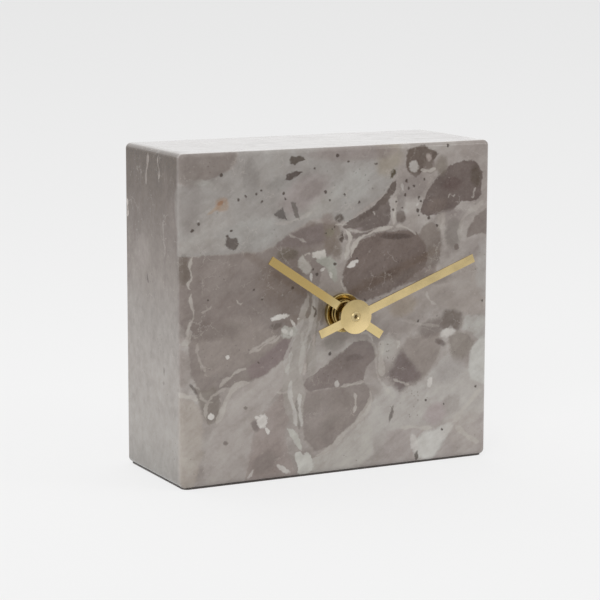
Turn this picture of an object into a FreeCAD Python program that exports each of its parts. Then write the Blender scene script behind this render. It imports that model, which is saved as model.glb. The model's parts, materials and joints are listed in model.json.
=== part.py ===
import FreeCAD, Part
import math
import os

import Sketcher

# Table clock in a stone block: frame origin at the middle of the base pad's underside,
# +X to the right seen from the front, +Y to the rear, +Z up. The hands turn about +Y.

V = FreeCAD.Vector
doc = FreeCAD.newDocument("table_clock")

# Driving dimensions, millimetres

SIZES = [
    # stone block and base pad
    ("block_width", 105),
    ("block_depth", 42),
    ("clock_height", 100),
    ("block_edge_round", 1.7),
    ("pad_thick", 0.3),
    ("pad_inset", 0.8),
    ("pad_corner_round", 2),
    ("front_wall", 8),
    ("recess_gap", 3),
    ("recess_round", 6),
    # clearances and the overrun of cuts
    ("running_clearance", 0.05),
    ("clutch_clearance", 0.02),
    ("seat_clearance", 0.02),
    ("hole_clearance", 0.4),
    ("cut_overrun", 1),
    # threaded bush, nut and rubber washer
    ("thread_radius", 4),
    ("thread_pitch", 0.75),
    ("thread_groove", 0.4),
    ("thread_beyond_nut", 1.3),
    ("bush_flange_radius", 5.5),
    ("bush_flange_thick", 0.8),
    ("nut_radius", 5.9),
    ("nut_height", 2.9),
    ("nut_rim", 0.15),
    ("nut_chamfer", 0.15),
    ("nut_dish", 0.6),
    ("nut_land", 0.2),
    ("nut_bevel_width", 0.7),
    ("nut_bevel_height", 1.3),
    ("thread_chamfer", 0.3),
    ("rubber_thick", 1),
    ("rubber_radius", 11),
    # movement case and rear cover
    ("case_depth", 16),
    ("case_wall", 1.2),
    ("case_round", 3),
    ("lip_wall", 0.8),
    ("lip_depth", 1.2),
    ("lip_clearance", 0.15),
    ("ring_gap", 0.6),
    ("ring_wall", 1),
    ("ring_height", 0.6),
    # battery and its contacts
    ("battery_radius", 7.25),
    ("battery_length", 49.2),
    ("battery_edge_round", 0.5),
    ("nub_radius", 2.75),
    ("nub_length", 1),
    ("bay_clearance", 0.3),
    ("contact_clearance", 0.02),
    ("leaf_reach", 3.06),
    ("strip_thick", 0.3),
    ("strip_width", 5),
    ("strip_ahead", 1.2),
    ("leaf_rise", 5),
    ("strip_gap", 0.1),
    ("strip_lap", 3),
    # wheel stations along the hand axis
    ("wheel_thick", 0.7),
    ("wheel_gap", 0.5),
    ("first_gap", 0.4),
    ("plate_thick", 1),
    ("pivot_radius", 0.35),
    ("pivot_depth", 0.7),
    # centre distances of the gear pairs
    ("motion_distance", 9.12),
    ("third_distance", 7.6),
    ("seconds_distance", 7.7),
    ("rotor_distance", 7.2),
    # arbors and pipes, from the inside out
    ("seconds_arbor_radius", 0.45),
    ("minute_arbor_radius", 1.7),
    ("minute_tip_radius", 1.55),
    ("hour_pipe_radius", 2.5),
    ("clutch_hub_radius", 2.6),
    ("clutch_hub_ahead", 0.3),
    ("transmission_arbor_radius", 0.5),
    ("setting_shaft_radius", 1),
    # plates and their posts
    ("plate_half_width", 22),
    ("plate_below", 9.5),
    ("plate_above", 17),
    ("post_radius", 2),
    ("low_post_left", 19),
    ("low_post_right", 18.5),
    ("low_post_drop", 6),
    ("high_post_left", 8.5),
    ("high_post_rise", 14.5),
    ("screw_radius", 0.8),
    ("screw_head_radius", 1.5),
    ("screw_head_thick", 0.8),
    ("screw_bite", 2),
    # stepping motor
    ("magnet_radius", 2.4),
    ("magnet_length", 2.4),
    ("magnet_gap", 0.4),
    ("pole_ring", 1.1),
    ("stator_thick", 0.8),
    ("stator_bar", 3.2),
    ("stator_leg", 3),
    ("stator_half_width", 10),
    ("stator_boss_radius", 1.2),
    ("coil_rise", 9.7),
    ("core_width", 2.4),
    ("bobbin_length", 13.4),
    ("bobbin_flange_radius", 2.8),
    ("bobbin_flange_thick", 0.6),
    ("bobbin_bore_radius", 1.35),
    ("bobbin_wall", 0.35),
    ("winding_inset", 0.15),
    # circuit board
    ("board_width", 20.4),
    ("board_height", 8.8),
    ("board_thick", 0.8),
    ("board_margin", 0.4),
    ("board_gap", 0.6),
    ("board_behind_bridge", 0.1),
    ("board_post_radius", 1.2),
    ("board_post_inset", 3),
    ("board_post_drop", 4.4),
    ("chip_radius", 2.2),
    ("chip_height", 0.9),
    ("crystal_radius", 1),
    ("crystal_length", 6),
    # setting knob
    ("knob_radius", 5),
    ("knob_height", 3.6),
    ("knob_gap", 0.3),
    ("knob_flute_radius", 0.6),
    ("knob_edge_round", 0.4),
    # hands
    ("hand_width", 2.6),
    ("hand_thick", 0.4),
    ("long_hand_length", 43.5),
    ("long_tail_length", 12.9),
    ("long_hand_disc_radius", 5.2),
    ("long_hand_height", 10.4),
    ("long_collet_radius", 2.4),
    ("long_collet_length", 1.1),
    ("short_hand_length", 33.3),
    ("short_tail_length", 11.7),
    ("short_hand_disc_radius", 4.6),
    ("short_hand_height", 8.6),
    ("short_collet_radius", 3.2),
    ("short_collet_length", 1.8),
    ("pipe_proud", 0.1),
    ("arbor_proud", 0.3),
    ("arbor_chamfer", 0.25),
    ("arbor_countersink", 0.35),
    ("seconds_recess", 1.6),
]

sizes = doc.addObject("Spreadsheet::Sheet", "sizes")
for row, (alias, number) in enumerate(SIZES, start=1):
    sizes.set(f"A{row}", alias)
    sizes.set(f"B{row}", str(number))
    sizes.setAlias(f"B{row}", alias)
doc.recompute()

# Counts and angles, which don't change with the size of the clock.
# An angle is in degrees in the dial's plane, from +X towards +Z.

CANNON_TEETH = 12
TRANSMISSION_TEETH = 36
TRANSMISSION_PINION_TEETH = 10
HOUR_TEETH = 40
SETTING_TEETH = 12
CENTRE_TEETH = 64
THIRD_PINION_TEETH = 8
THIRD_TEETH = 60
SECONDS_PINION_TEETH = 8
SECONDS_TEETH = 60
INTERMEDIATE_PINION_TEETH = 10
INTERMEDIATE_TEETH = 60
ROTOR_PINION_TEETH = 12
KNOB_FLUTES = 18

MINUTE_HAND_ANGLE = 20.41
HOUR_HAND_ANGLE = 145.97
TRANSMISSION_ANGLE = 180
SETTING_ANGLE = 120
THIRD_ANGLE = 0
INTERMEDIATE_ANGLE = 90
ROTOR_ANGLE = 30

# Share of an edge's length that its chord must cover for it to count as straight
STRAIGHT_SHARE = 0.999

# Shares of a gear's module: addendum, dedendum and tooth thickness at the pitch circle
WHEEL_TOOTH_SHARES = (0.9, 0.95, 1.25)
PINION_TOOTH_SHARES = (0.5, 1.3, 0.9)

# Places worked out from the sizes, kept in a second sheet as formulas.
# Those along Y say front or rear, those in the dial's plane say across or up from the hand axis.

PLACES = [
    ("axis_height", "sizes.clock_height / 2"),
    ("face", "-sizes.block_depth / 2"),
    ("back", "sizes.block_depth / 2"),
    ("recess_floor", "face + sizes.front_wall"),
    ("case_front", "recess_floor + sizes.rubber_thick"),
    ("case_rear", "case_front + sizes.case_depth"),
    ("case_inside", "case_front + sizes.case_wall"),
    ("cover_front", "case_rear - sizes.case_wall"),
    ("battery_overall", "sizes.battery_length + sizes.nub_length"),
    ("contacts_overall", "sizes.leaf_reach + sizes.strip_thick + 2 * sizes.contact_clearance"),
    ("works_above", "sizes.plate_above + sizes.board_gap + sizes.board_height + sizes.strip_thick + sizes.strip_gap"),
    ("half_inside", "max((battery_overall + contacts_overall) / 2; works_above)"),
    ("half_case", "half_inside + sizes.case_wall"),
    ("half_recess", "half_case + sizes.recess_gap"),
    ("battery_drop", "half_inside - sizes.bay_clearance - sizes.battery_radius"),
    ("battery_axis", "case_inside + sizes.bay_clearance + sizes.battery_radius"),
    ("partition_low", "-battery_drop + sizes.battery_radius + sizes.bay_clearance"),
    ("partition_high", "partition_low + sizes.case_wall"),
    ("nub_tip", "half_inside - sizes.strip_thick - sizes.contact_clearance"),
    ("battery_plus_end", "nub_tip - sizes.nub_length"),
    ("battery_minus_end", "battery_plus_end - sizes.battery_length"),
    ("leaf_tip", "battery_minus_end - sizes.contact_clearance"),
    ("strip_front", "battery_axis - sizes.strip_ahead"),
    ("nut_front", "face - sizes.nut_height"),
    ("thread_front", "nut_front - sizes.thread_beyond_nut"),
    ("bush_bore", "sizes.hour_pipe_radius + sizes.running_clearance"),
    ("pipe_bore", "sizes.minute_arbor_radius + sizes.running_clearance"),
    ("arbor_bore", "sizes.seconds_arbor_radius + sizes.running_clearance"),
    ("pivot_hole", "sizes.pivot_radius + sizes.running_clearance"),
    ("hour_station", "case_inside + sizes.first_gap"),
    ("motion_station", "hour_station + sizes.wheel_thick + sizes.wheel_gap"),
    ("train_plate_front", "motion_station + sizes.wheel_thick + sizes.wheel_gap"),
    ("train_plate_rear", "train_plate_front + sizes.plate_thick"),
    ("centre_station", "train_plate_rear + sizes.wheel_gap"),
    ("third_station", "centre_station + sizes.wheel_thick + sizes.wheel_gap"),
    ("seconds_station", "third_station + sizes.wheel_thick + sizes.wheel_gap"),
    ("rotor_station", "seconds_station + sizes.wheel_thick + sizes.wheel_gap"),
    ("bridge_front", "rotor_station + sizes.wheel_thick + sizes.wheel_gap"),
    ("bridge_rear", "bridge_front + sizes.plate_thick"),
    ("transmission_across", f"sizes.motion_distance * cos({TRANSMISSION_ANGLE} deg)"),
    ("transmission_up", f"sizes.motion_distance * sin({TRANSMISSION_ANGLE} deg)"),
    ("setting_across", f"transmission_across + sizes.motion_distance * cos({SETTING_ANGLE} deg)"),
    ("setting_up", f"transmission_up + sizes.motion_distance * sin({SETTING_ANGLE} deg)"),
    ("third_across", f"sizes.third_distance * cos({THIRD_ANGLE} deg)"),
    ("third_up", f"sizes.third_distance * sin({THIRD_ANGLE} deg)"),
    ("intermediate_across", f"sizes.seconds_distance * cos({INTERMEDIATE_ANGLE} deg)"),
    ("intermediate_up", f"sizes.seconds_distance * sin({INTERMEDIATE_ANGLE} deg)"),
    ("rotor_across", f"intermediate_across + sizes.rotor_distance * cos({ROTOR_ANGLE} deg)"),
    ("rotor_up", f"intermediate_up + sizes.rotor_distance * sin({ROTOR_ANGLE} deg)"),
    ("coil_up", "rotor_up + sizes.coil_rise"),
    ("stator_front", "third_station - sizes.magnet_gap"),
    ("stator_rear", "stator_front + sizes.stator_thick"),
    ("magnet_front", "(stator_front + stator_rear - sizes.magnet_length) / 2"),
    ("coil_axis", "stator_rear + sizes.stator_thick / 2"),
    ("bobbin_core_radius", "sizes.bobbin_bore_radius + sizes.bobbin_wall"),
    ("board_left", "-half_inside + sizes.board_margin"),
    ("board_right", "board_left + sizes.board_width"),
    ("board_top", "half_inside - sizes.strip_thick - sizes.strip_gap"),
    ("board_low", "board_top - sizes.board_height"),
    ("board_front", "bridge_front + sizes.board_behind_bridge"),
    ("board_rear", "board_front + sizes.board_thick"),
    ("knob_front", "case_rear + sizes.knob_gap"),
    ("knob_rear", "knob_front + sizes.knob_height"),
    ("hour_hand_front", "face - sizes.short_hand_height"),
    ("hour_hand_rear", "hour_hand_front + sizes.hand_thick"),
    ("minute_hand_front", "face - sizes.long_hand_height"),
    ("minute_hand_rear", "minute_hand_front + sizes.hand_thick"),
    ("pipe_front", "hour_hand_front - sizes.pipe_proud"),
    ("arbor_shoulder", "minute_hand_rear + sizes.long_collet_length"),
    ("arbor_front", "minute_hand_front - sizes.arbor_proud"),
    ("arbor_rear", "centre_station + sizes.wheel_thick"),
]

places = doc.addObject("Spreadsheet::Sheet", "places")
for row, (alias, formula) in enumerate(PLACES, start=1):
    places.set(f"A{row}", alias)
    places.set(f"B{row}", f"={formula}")
    places.setAlias(f"B{row}", alias)
doc.recompute()


def value(text):
    """The number that an expression gives now."""
    return float(sizes.evalExpression(text))


def bind(target, name, text):
    """Tie a property or constraint to an expression."""
    target.setExpression(name, text)


# Helpers for PartDesign bodies

nodes = []


def piece(label):
    """An empty body that becomes one node."""
    body = doc.addObject("PartDesign::Body", label)
    body.Label = label
    nodes.append(body)
    return body


def place(item, across="0", up="0"):
    """Put a piece at its place in the dial's plane, counted from the hand axis."""
    bind(item, "Placement.Base.x", across)
    bind(item, "Placement.Base.z", f"places.axis_height + {up}")


def sketch(body, front=None, role="XZ_Plane"):
    """A sketch in the dial's plane at a depth, or on another of the body's planes."""
    plane = [item for item in body.Origin.OriginFeatures if item.Role == role][0]
    drawing = body.newObject("Sketcher::SketchObject", f"{body.Name}_sketch")
    drawing.AttachmentSupport = [(plane, "")]
    drawing.MapMode = "FlatFace"
    if front is not None:
        bind(drawing, "AttachmentOffset.Base.z", f"-({front})")
    return drawing


def pin(drawing, geometry, spot, across, up):
    """Hold one point of a sketch at bound distances from its origin."""
    for kind, text in (("DistanceX", across), ("DistanceY", up)):
        rule = drawing.addConstraint(Sketcher.Constraint(kind, -1, 1, geometry, spot, value(text)))
        bind(drawing, f"Constraints[{rule}]", text)


def outline(drawing, points):
    """A closed outline of straight lines through bound points."""
    first = drawing.GeometryCount
    corners = [V(value(across), value(up), 0) for across, up in points]
    count = len(corners)
    for index in range(count):
        following = corners[(index + 1) % count]
        drawing.addGeometry(Part.LineSegment(corners[index], following), False)
    for index in range(count):
        after = first + (index + 1) % count
        drawing.addConstraint(Sketcher.Constraint("Coincident", first + index, 2, after, 1))
    for index, (across, up) in enumerate(points):
        pin(drawing, first + index, 1, across, up)


def rectangle(drawing, left, right, low, high):
    outline(drawing, [(left, low), (right, low), (right, high), (left, high)])


def circle(drawing, radius, across="0", up="0"):
    centre = V(value(across), value(up), 0)
    ring = drawing.addGeometry(Part.Circle(centre, V(0, 0, 1), value(radius)), False)
    rule = drawing.addConstraint(Sketcher.Constraint("Radius", ring, value(radius)))
    bind(drawing, f"Constraints[{rule}]", radius)
    pin(drawing, ring, 3, across, up)


def pad(body, drawing, thick):
    """Material from the sketch towards the rear."""
    feature = body.newObject("PartDesign::Pad", f"{body.Name}_pad")
    feature.Profile = drawing
    feature.Reversed = True
    bind(feature, "Length", thick)
    return feature


def pocket(body, drawing, deep):
    """A cut from the sketch towards the rear."""
    feature = body.newObject("PartDesign::Pocket", f"{body.Name}_pocket")
    feature.Profile = drawing
    bind(feature, "Length", deep)
    return feature


def turn(body, points):
    """A solid turned about Y, through points of radius and depth."""
    drawing = sketch(body, role="XY_Plane")
    outline(drawing, points)
    feature = body.newObject("PartDesign::Revolution", f"{body.Name}_turned")
    feature.Profile = drawing
    feature.ReferenceAxis = (drawing, ["V_Axis"])
    feature.Angle = 360
    return feature


def round_edges(body, feature, radius, wanted):
    """Round the edges of a feature that a test picks."""
    doc.recompute()
    names = [f"Edge{number}" for number, edge in enumerate(feature.Shape.Edges, start=1) if wanted(edge)]
    fillet = body.newObject("PartDesign::Fillet", f"{body.Name}_round")
    fillet.Base = (feature, names)
    bind(fillet, "Radius", radius)
    return fillet


def runs_along(edge, direction):
    """True for a straight edge along a direction."""
    if edge.isClosed():
        return False
    ends = edge.Vertexes
    chord = ends[1].Point - ends[0].Point
    return abs(chord.dot(direction)) > STRAIGHT_SHARE * edge.Length


def along_depth(edge):
    return runs_along(edge, V(0, 1, 0))


def is_straight(edge):
    return any(runs_along(edge, axis) for axis in (V(1, 0, 0), V(0, 1, 0), V(0, 0, 1)))


# Helpers for toothed wheels


def polar(radius, angle):
    return V(radius * math.cos(angle), 0, radius * math.sin(angle))


def mesh_distance_to_module(distance, teeth, mate_teeth):
    return 2 * value(distance) / (teeth + mate_teeth)


def mesh_phase(phase, teeth, direction, mate_teeth):
    """The mate's tooth angle that puts its gap on this wheel's tooth, all in radians."""
    offset = (phase - direction) * teeth / math.tau
    return direction + math.pi - math.tau * (offset - 0.5) / mate_teeth


def toothed_disc(name, teeth, module, shares, phase, front, thick):
    """A disc with rounded teeth, its first tooth centred at the phase angle."""
    addendum, dedendum, thickness = shares
    pitch_radius = teeth * module / 2
    root_radius = pitch_radius - dedendum * module
    tip_radius = pitch_radius + addendum * module
    half_tooth = thickness * module / 2 / pitch_radius
    step = math.tau / teeth
    edges = []
    for index in range(teeth):
        middle = phase + index * step
        start, end = middle - half_tooth, middle + half_tooth
        following = start + step
        tooth = [polar(pitch_radius, start), polar(tip_radius, middle), polar(pitch_radius, end)]
        gap = [polar(root_radius, end), polar(root_radius, (end + following) / 2), polar(root_radius, following)]
        edges.append(Part.LineSegment(polar(root_radius, start), tooth[0]).toShape())
        edges.append(Part.Arc(*tooth).toShape())
        edges.append(Part.LineSegment(tooth[2], gap[0]).toShape())
        edges.append(Part.Arc(*gap).toShape())
    face = Part.Face(Part.Wire(edges))
    face.translate(V(0, value(front), 0))
    disc = doc.addObject("Part::Feature", name)
    disc.Shape = face.extrude(V(0, value(thick), 0))
    return disc


def rod(name, radius, front, rear):
    """A cylinder along Y on the piece's own axis."""
    item = doc.addObject("Part::Cylinder", name)
    bind(item, "Radius", radius)
    bind(item, "Height", f"({rear}) - ({front})")
    item.Placement = FreeCAD.Placement(V(0, 0, 0), FreeCAD.Rotation(V(1, 0, 0), -90))
    bind(item, "Placement.Base.y", front)
    return item


def joined(label, solids, bores=()):
    """One piece from joined solids, less its bores."""
    fused = doc.addObject("Part::MultiFuse", label if not bores else f"{label}_solid")
    fused.Shapes = solids
    result = fused
    for number, bore in enumerate(bores, start=1):
        cut = doc.addObject("Part::Cut", label if number == len(bores) else f"{label}_cut")
        cut.Base = result
        cut.Tool = bore
        result = cut
    result.Label = label
    nodes.append(result)
    return result


# Stone block: a slab rounded on every edge, bored for the bush, with a milled recess behind


def make_marble_block():
    block = piece("marble_block")
    drawing = sketch(block, "places.face")
    rectangle(
        drawing,
        "-sizes.block_width / 2",
        "sizes.block_width / 2",
        "sizes.pad_thick",
        "sizes.clock_height",
    )
    slab = pad(block, drawing, "sizes.block_depth")
    round_edges(block, slab, "sizes.block_edge_round", is_straight)
    drawing = sketch(block, "places.recess_floor")
    half = "places.half_recess"
    rectangle(drawing, f"-{half}", half, f"places.axis_height - {half}", f"places.axis_height + {half}")
    recess = pocket(block, drawing, "sizes.block_depth - sizes.front_wall + sizes.cut_overrun")
    inner = value(half) + value("sizes.seat_clearance")

    def recess_corner(edge):
        middle = edge.CenterOfMass
        return along_depth(edge) and abs(middle.x) < inner

    round_edges(block, recess, "sizes.recess_round", recess_corner)
    drawing = sketch(block, "places.face - sizes.cut_overrun")
    circle(drawing, "sizes.thread_radius + sizes.hole_clearance", "0", "places.axis_height")
    pocket(block, drawing, "sizes.front_wall + 2 * sizes.cut_overrun")


# Base pad: thin felt glued under the block, set in from its edges


def make_base_pad():
    felt = piece("base_pad")
    drawing = sketch(felt, "places.face + sizes.pad_inset")
    half = "(sizes.block_width / 2 - sizes.pad_inset)"
    rectangle(drawing, f"-{half}", half, "0", "sizes.pad_thick")
    slab = pad(felt, drawing, "sizes.block_depth - 2 * sizes.pad_inset")

    def upright(edge):
        return runs_along(edge, V(0, 0, 1))

    round_edges(felt, slab, "sizes.pad_corner_round", upright)


# Bush, nut and washer that clamp the movement to the stone


def make_threaded_bush():
    bush = piece("threaded_bush")
    wall_front = "places.case_front"
    points = [
        ("places.bush_bore", "places.case_inside"),
        ("sizes.bush_flange_radius", "places.case_inside"),
        ("sizes.bush_flange_radius", "places.case_inside - sizes.bush_flange_thick"),
        ("sizes.thread_radius", "places.case_inside - sizes.bush_flange_thick"),
        ("sizes.thread_radius", wall_front),
    ]
    length = value("places.case_front - places.thread_front")
    turns = int(length / value("sizes.thread_pitch")) - 1
    for index in range(turns):
        crest = f"{wall_front} - {index + 1} * sizes.thread_pitch"
        points.append(("sizes.thread_radius - sizes.thread_groove", f"{crest} + sizes.thread_pitch / 2"))
        points.append(("sizes.thread_radius", crest))
    points.append(("sizes.thread_radius", "places.thread_front + sizes.thread_chamfer"))
    points.append(("sizes.thread_radius - sizes.thread_chamfer", "places.thread_front"))
    points.append(("places.bush_bore", "places.thread_front"))
    turn(bush, points)
    place(bush)


def make_dial_nut():
    nut = piece("dial_nut")
    bore = "sizes.thread_radius + sizes.seat_clearance"
    turn(
        nut,
        [
            (bore, "places.face"),
            ("sizes.nut_radius - sizes.nut_bevel_width", "places.face"),
            ("sizes.nut_radius", "places.face - sizes.nut_bevel_height"),
            ("sizes.nut_radius", "places.nut_front + sizes.nut_chamfer"),
            ("sizes.nut_radius - sizes.nut_chamfer", "places.nut_front"),
            ("sizes.nut_radius - sizes.nut_rim - sizes.nut_chamfer", "places.nut_front"),
            ("sizes.thread_radius + sizes.nut_land", "places.nut_front + sizes.nut_dish"),
            (bore, "places.nut_front + sizes.nut_dish"),
        ],
    )
    place(nut)


def make_rubber_washer():
    washer = piece("rubber_washer")
    drawing = sketch(washer, "places.recess_floor")
    circle(drawing, "sizes.rubber_radius")
    circle(drawing, "sizes.thread_radius + sizes.hole_clearance")
    pad(washer, drawing, "sizes.rubber_thick")
    place(washer)


# Movement case: an open tray with a bay for the battery, posts and pivot seats

POSTS = [
    ("-sizes.low_post_left", "-sizes.low_post_drop"),
    ("sizes.low_post_right", "-sizes.low_post_drop"),
    ("-sizes.high_post_left", "sizes.high_post_rise"),
]


def make_movement_case():
    case = piece("movement_case")
    half = "places.half_case"
    inside = "places.half_inside"
    drawing = sketch(case, "places.case_front")
    rectangle(drawing, f"-{half}", half, f"-{half}", half)
    block = pad(case, drawing, "sizes.case_depth")
    round_edges(case, block, "sizes.case_round", along_depth)
    room = "sizes.case_depth - sizes.case_wall + sizes.cut_overrun"
    drawing = sketch(case, "places.case_inside")
    rectangle(drawing, f"-{inside}", inside, "places.partition_high", inside)
    rectangle(drawing, f"-{inside}", inside, f"-{inside}", "places.partition_low")
    pocket(case, drawing, room)
    drawing = sketch(case, "places.cover_front")
    beyond = f"({half} + sizes.cut_overrun)"
    rectangle(drawing, f"-{beyond}", beyond, "places.partition_low", beyond)
    pocket(case, drawing, "sizes.case_wall + sizes.cut_overrun")
    # slots in the partition for the contact strips
    drawing = sketch(case, "places.strip_front - sizes.strip_gap")
    slot = f"({inside} - sizes.strip_thick - sizes.strip_gap)"
    low = "places.partition_low - sizes.strip_gap"
    high = "places.partition_high + sizes.strip_gap"
    rectangle(drawing, f"-{inside}", f"-{slot}", low, high)
    rectangle(drawing, slot, inside, low, high)
    pocket(case, drawing, "sizes.strip_width + 2 * sizes.strip_gap")
    # hole and counterbore of the bush
    drawing = sketch(case, "places.case_front - sizes.cut_overrun")
    circle(drawing, "sizes.thread_radius + sizes.seat_clearance")
    pocket(case, drawing, "sizes.case_wall + 2 * sizes.cut_overrun")
    drawing = sketch(case, "places.case_inside - sizes.bush_flange_thick")
    circle(drawing, "sizes.bush_flange_radius + sizes.seat_clearance")
    pocket(case, drawing, "sizes.bush_flange_thick + sizes.cut_overrun")
    # posts for the plates and the circuit board
    drawing = sketch(case, "places.case_inside")
    for across, up in POSTS:
        circle(drawing, "sizes.post_radius", across, up)
    pad(case, drawing, "places.train_plate_front - places.case_inside")
    drawing = sketch(case, "places.case_inside")
    up = "places.board_top - sizes.board_post_drop"
    circle(drawing, "sizes.board_post_radius", "places.board_left + sizes.board_post_inset", up)
    circle(drawing, "sizes.board_post_radius", "places.board_right - sizes.board_post_inset", up)
    pad(case, drawing, "places.board_front - places.case_inside")
    # screw holes, and blind seats for the transmission arbor and the setting shaft
    drawing = sketch(case, "places.train_plate_front - sizes.screw_bite")
    for across, up in POSTS:
        circle(drawing, "sizes.screw_radius + sizes.seat_clearance", across, up)
    pocket(case, drawing, "sizes.screw_bite + sizes.cut_overrun")
    drawing = sketch(case, "places.case_inside - sizes.pivot_depth")
    circle(
        drawing,
        "sizes.transmission_arbor_radius + sizes.running_clearance",
        "places.transmission_across",
        "places.transmission_up",
    )
    circle(
        drawing,
        "sizes.setting_shaft_radius + sizes.running_clearance",
        "places.setting_across",
        "places.setting_up",
    )
    pocket(case, drawing, "sizes.pivot_depth + sizes.cut_overrun")
    place(case)


def make_rear_cover():
    cover = piece("rear_cover")
    half = "places.half_case"
    drawing = sketch(cover, "places.cover_front")
    rectangle(drawing, f"-{half}", half, "places.partition_low", half)
    plate = pad(cover, drawing, "sizes.case_wall")

    def top_corner(edge):
        return along_depth(edge) and edge.CenterOfMass.z > 0

    round_edges(cover, plate, "sizes.case_round", top_corner)
    # locating lip inside the case's walls
    outer = "(places.half_inside - sizes.lip_clearance)"
    inner = "(places.half_inside - sizes.lip_clearance - sizes.lip_wall)"
    low = "places.partition_high + sizes.lip_clearance"
    drawing = sketch(cover, "places.cover_front - sizes.lip_depth")
    rectangle(drawing, f"-{outer}", outer, low, outer)
    rectangle(drawing, f"-{inner}", inner, f"{low} + sizes.lip_wall", inner)
    pad(cover, drawing, "sizes.lip_depth")
    # raised ring round the setting knob
    across, up = "places.setting_across", "places.setting_up"
    drawing = sketch(cover, "places.case_rear")
    circle(drawing, "sizes.knob_radius + sizes.ring_gap + sizes.ring_wall", across, up)
    circle(drawing, "sizes.knob_radius + sizes.ring_gap", across, up)
    pad(cover, drawing, "sizes.ring_height")
    drawing = sketch(cover, "places.cover_front - sizes.cut_overrun")
    circle(drawing, "sizes.setting_shaft_radius + sizes.running_clearance", across, up)
    pocket(cover, drawing, "sizes.case_wall + 2 * sizes.cut_overrun")
    place(cover)


# Train plate and rear bridge, which carry the pivots, and their screws


def plate_outline(drawing):
    half = "sizes.plate_half_width"
    rectangle(drawing, f"-{half}", half, "-sizes.plate_below", "sizes.plate_above")


def cut_plate_holes(body, front, holes):
    """Holes through a plate, as radius, across and up."""
    drawing = sketch(body, f"{front} - sizes.cut_overrun")
    for radius, across, up in holes:
        circle(drawing, radius, across, up)
    return pocket(body, drawing, "sizes.plate_thick + 2 * sizes.cut_overrun")


PIVOT_HOLES = [
    ("places.pivot_hole", "places.third_across", "places.third_up"),
    ("places.pivot_hole", "places.intermediate_across", "places.intermediate_up"),
    ("places.pivot_hole", "places.rotor_across", "places.rotor_up"),
    ("sizes.setting_shaft_radius + sizes.running_clearance", "places.setting_across", "places.setting_up"),
]


def make_train_plate():
    plate = piece("train_plate")
    drawing = sketch(plate, "places.train_plate_front")
    plate_outline(drawing)
    pad(plate, drawing, "sizes.plate_thick")
    drawing = sketch(plate, "places.train_plate_rear")
    for across, up in POSTS:
        circle(drawing, "sizes.post_radius", across, up)
    pad(plate, drawing, "places.bridge_front - places.train_plate_rear")
    drawing = sketch(plate, "places.train_plate_rear")
    for side in ("-", "+"):
        across = f"places.rotor_across {side} (sizes.stator_half_width - sizes.stator_leg / 2)"
        circle(drawing, "sizes.stator_boss_radius", across, "places.rotor_up")
    pad(plate, drawing, "places.stator_front - places.train_plate_rear")
    arbor_holes = [
        ("places.pipe_bore", "0", "0"),
        (
            "sizes.transmission_arbor_radius + sizes.running_clearance",
            "places.transmission_across",
            "places.transmission_up",
        ),
    ]
    cut_plate_holes(plate, "places.train_plate_front", PIVOT_HOLES + arbor_holes)
    drawing = sketch(plate, "places.train_plate_front - sizes.cut_overrun")
    for across, up in POSTS:
        circle(drawing, "sizes.screw_radius + sizes.seat_clearance", across, up)
    pocket(plate, drawing, "places.bridge_front - places.train_plate_front + 2 * sizes.cut_overrun")
    place(plate)


def make_rear_bridge():
    bridge = piece("rear_bridge")
    drawing = sketch(bridge, "places.bridge_front")
    plate_outline(drawing)
    pad(bridge, drawing, "sizes.plate_thick")
    holes = [("sizes.screw_radius + sizes.seat_clearance", across, up) for across, up in POSTS]
    holes.append(("places.arbor_bore", "0", "0"))
    cut_plate_holes(bridge, "places.bridge_front", PIVOT_HOLES + holes)
    place(bridge)


def make_bridge_screws():
    solids = []
    for number, (across, up) in enumerate(POSTS, start=1):
        shank = rod(
            f"screw_shank_{number}",
            "sizes.screw_radius",
            "places.train_plate_front - sizes.screw_bite + sizes.seat_clearance",
            "places.bridge_rear + sizes.screw_head_thick / 2",
        )
        head = rod(
            f"screw_head_{number}",
            "sizes.screw_head_radius",
            "places.bridge_rear",
            "places.bridge_rear + sizes.screw_head_thick",
        )
        for item in (shank, head):
            bind(item, "Placement.Base.x", across)
            bind(item, "Placement.Base.z", up)
            solids.append(item)
    place(joined("bridge_screws", solids))


# Stepping motor: stator, core, bobbin and winding


def make_stator():
    stator = piece("stator")
    middle = "places.rotor_across"
    height = "places.rotor_up"
    left = f"{middle} - sizes.stator_half_width"
    right = f"{middle} + sizes.stator_half_width"
    top = "places.coil_up + sizes.core_width / 2"
    drawing = sketch(stator, "places.stator_front")
    outline(
        drawing,
        [
            (left, f"{height} - sizes.stator_bar / 2"),
            (right, f"{height} - sizes.stator_bar / 2"),
            (right, top),
            (f"{right} - sizes.stator_leg", top),
            (f"{right} - sizes.stator_leg", f"{height} + sizes.stator_bar / 2"),
            (f"{left} + sizes.stator_leg", f"{height} + sizes.stator_bar / 2"),
            (f"{left} + sizes.stator_leg", top),
            (left, top),
        ],
    )
    pad(stator, drawing, "sizes.stator_thick")
    hole = "sizes.magnet_radius + sizes.magnet_gap"
    drawing = sketch(stator, "places.stator_front")
    circle(drawing, f"{hole} + sizes.pole_ring", middle, height)
    pad(stator, drawing, "sizes.stator_thick")
    drawing = sketch(stator, "places.stator_front - sizes.cut_overrun")
    circle(drawing, hole, middle, height)
    pocket(stator, drawing, "sizes.stator_thick + 2 * sizes.cut_overrun")
    place(stator)


def make_coil_core():
    core = piece("coil_core")
    drawing = sketch(core, "places.stator_rear")
    half = "sizes.stator_half_width"
    rectangle(drawing, f"-{half}", half, "-sizes.core_width / 2", "sizes.core_width / 2")
    pad(core, drawing, "sizes.stator_thick")
    place(core, "places.rotor_across", "places.coil_up")


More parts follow.
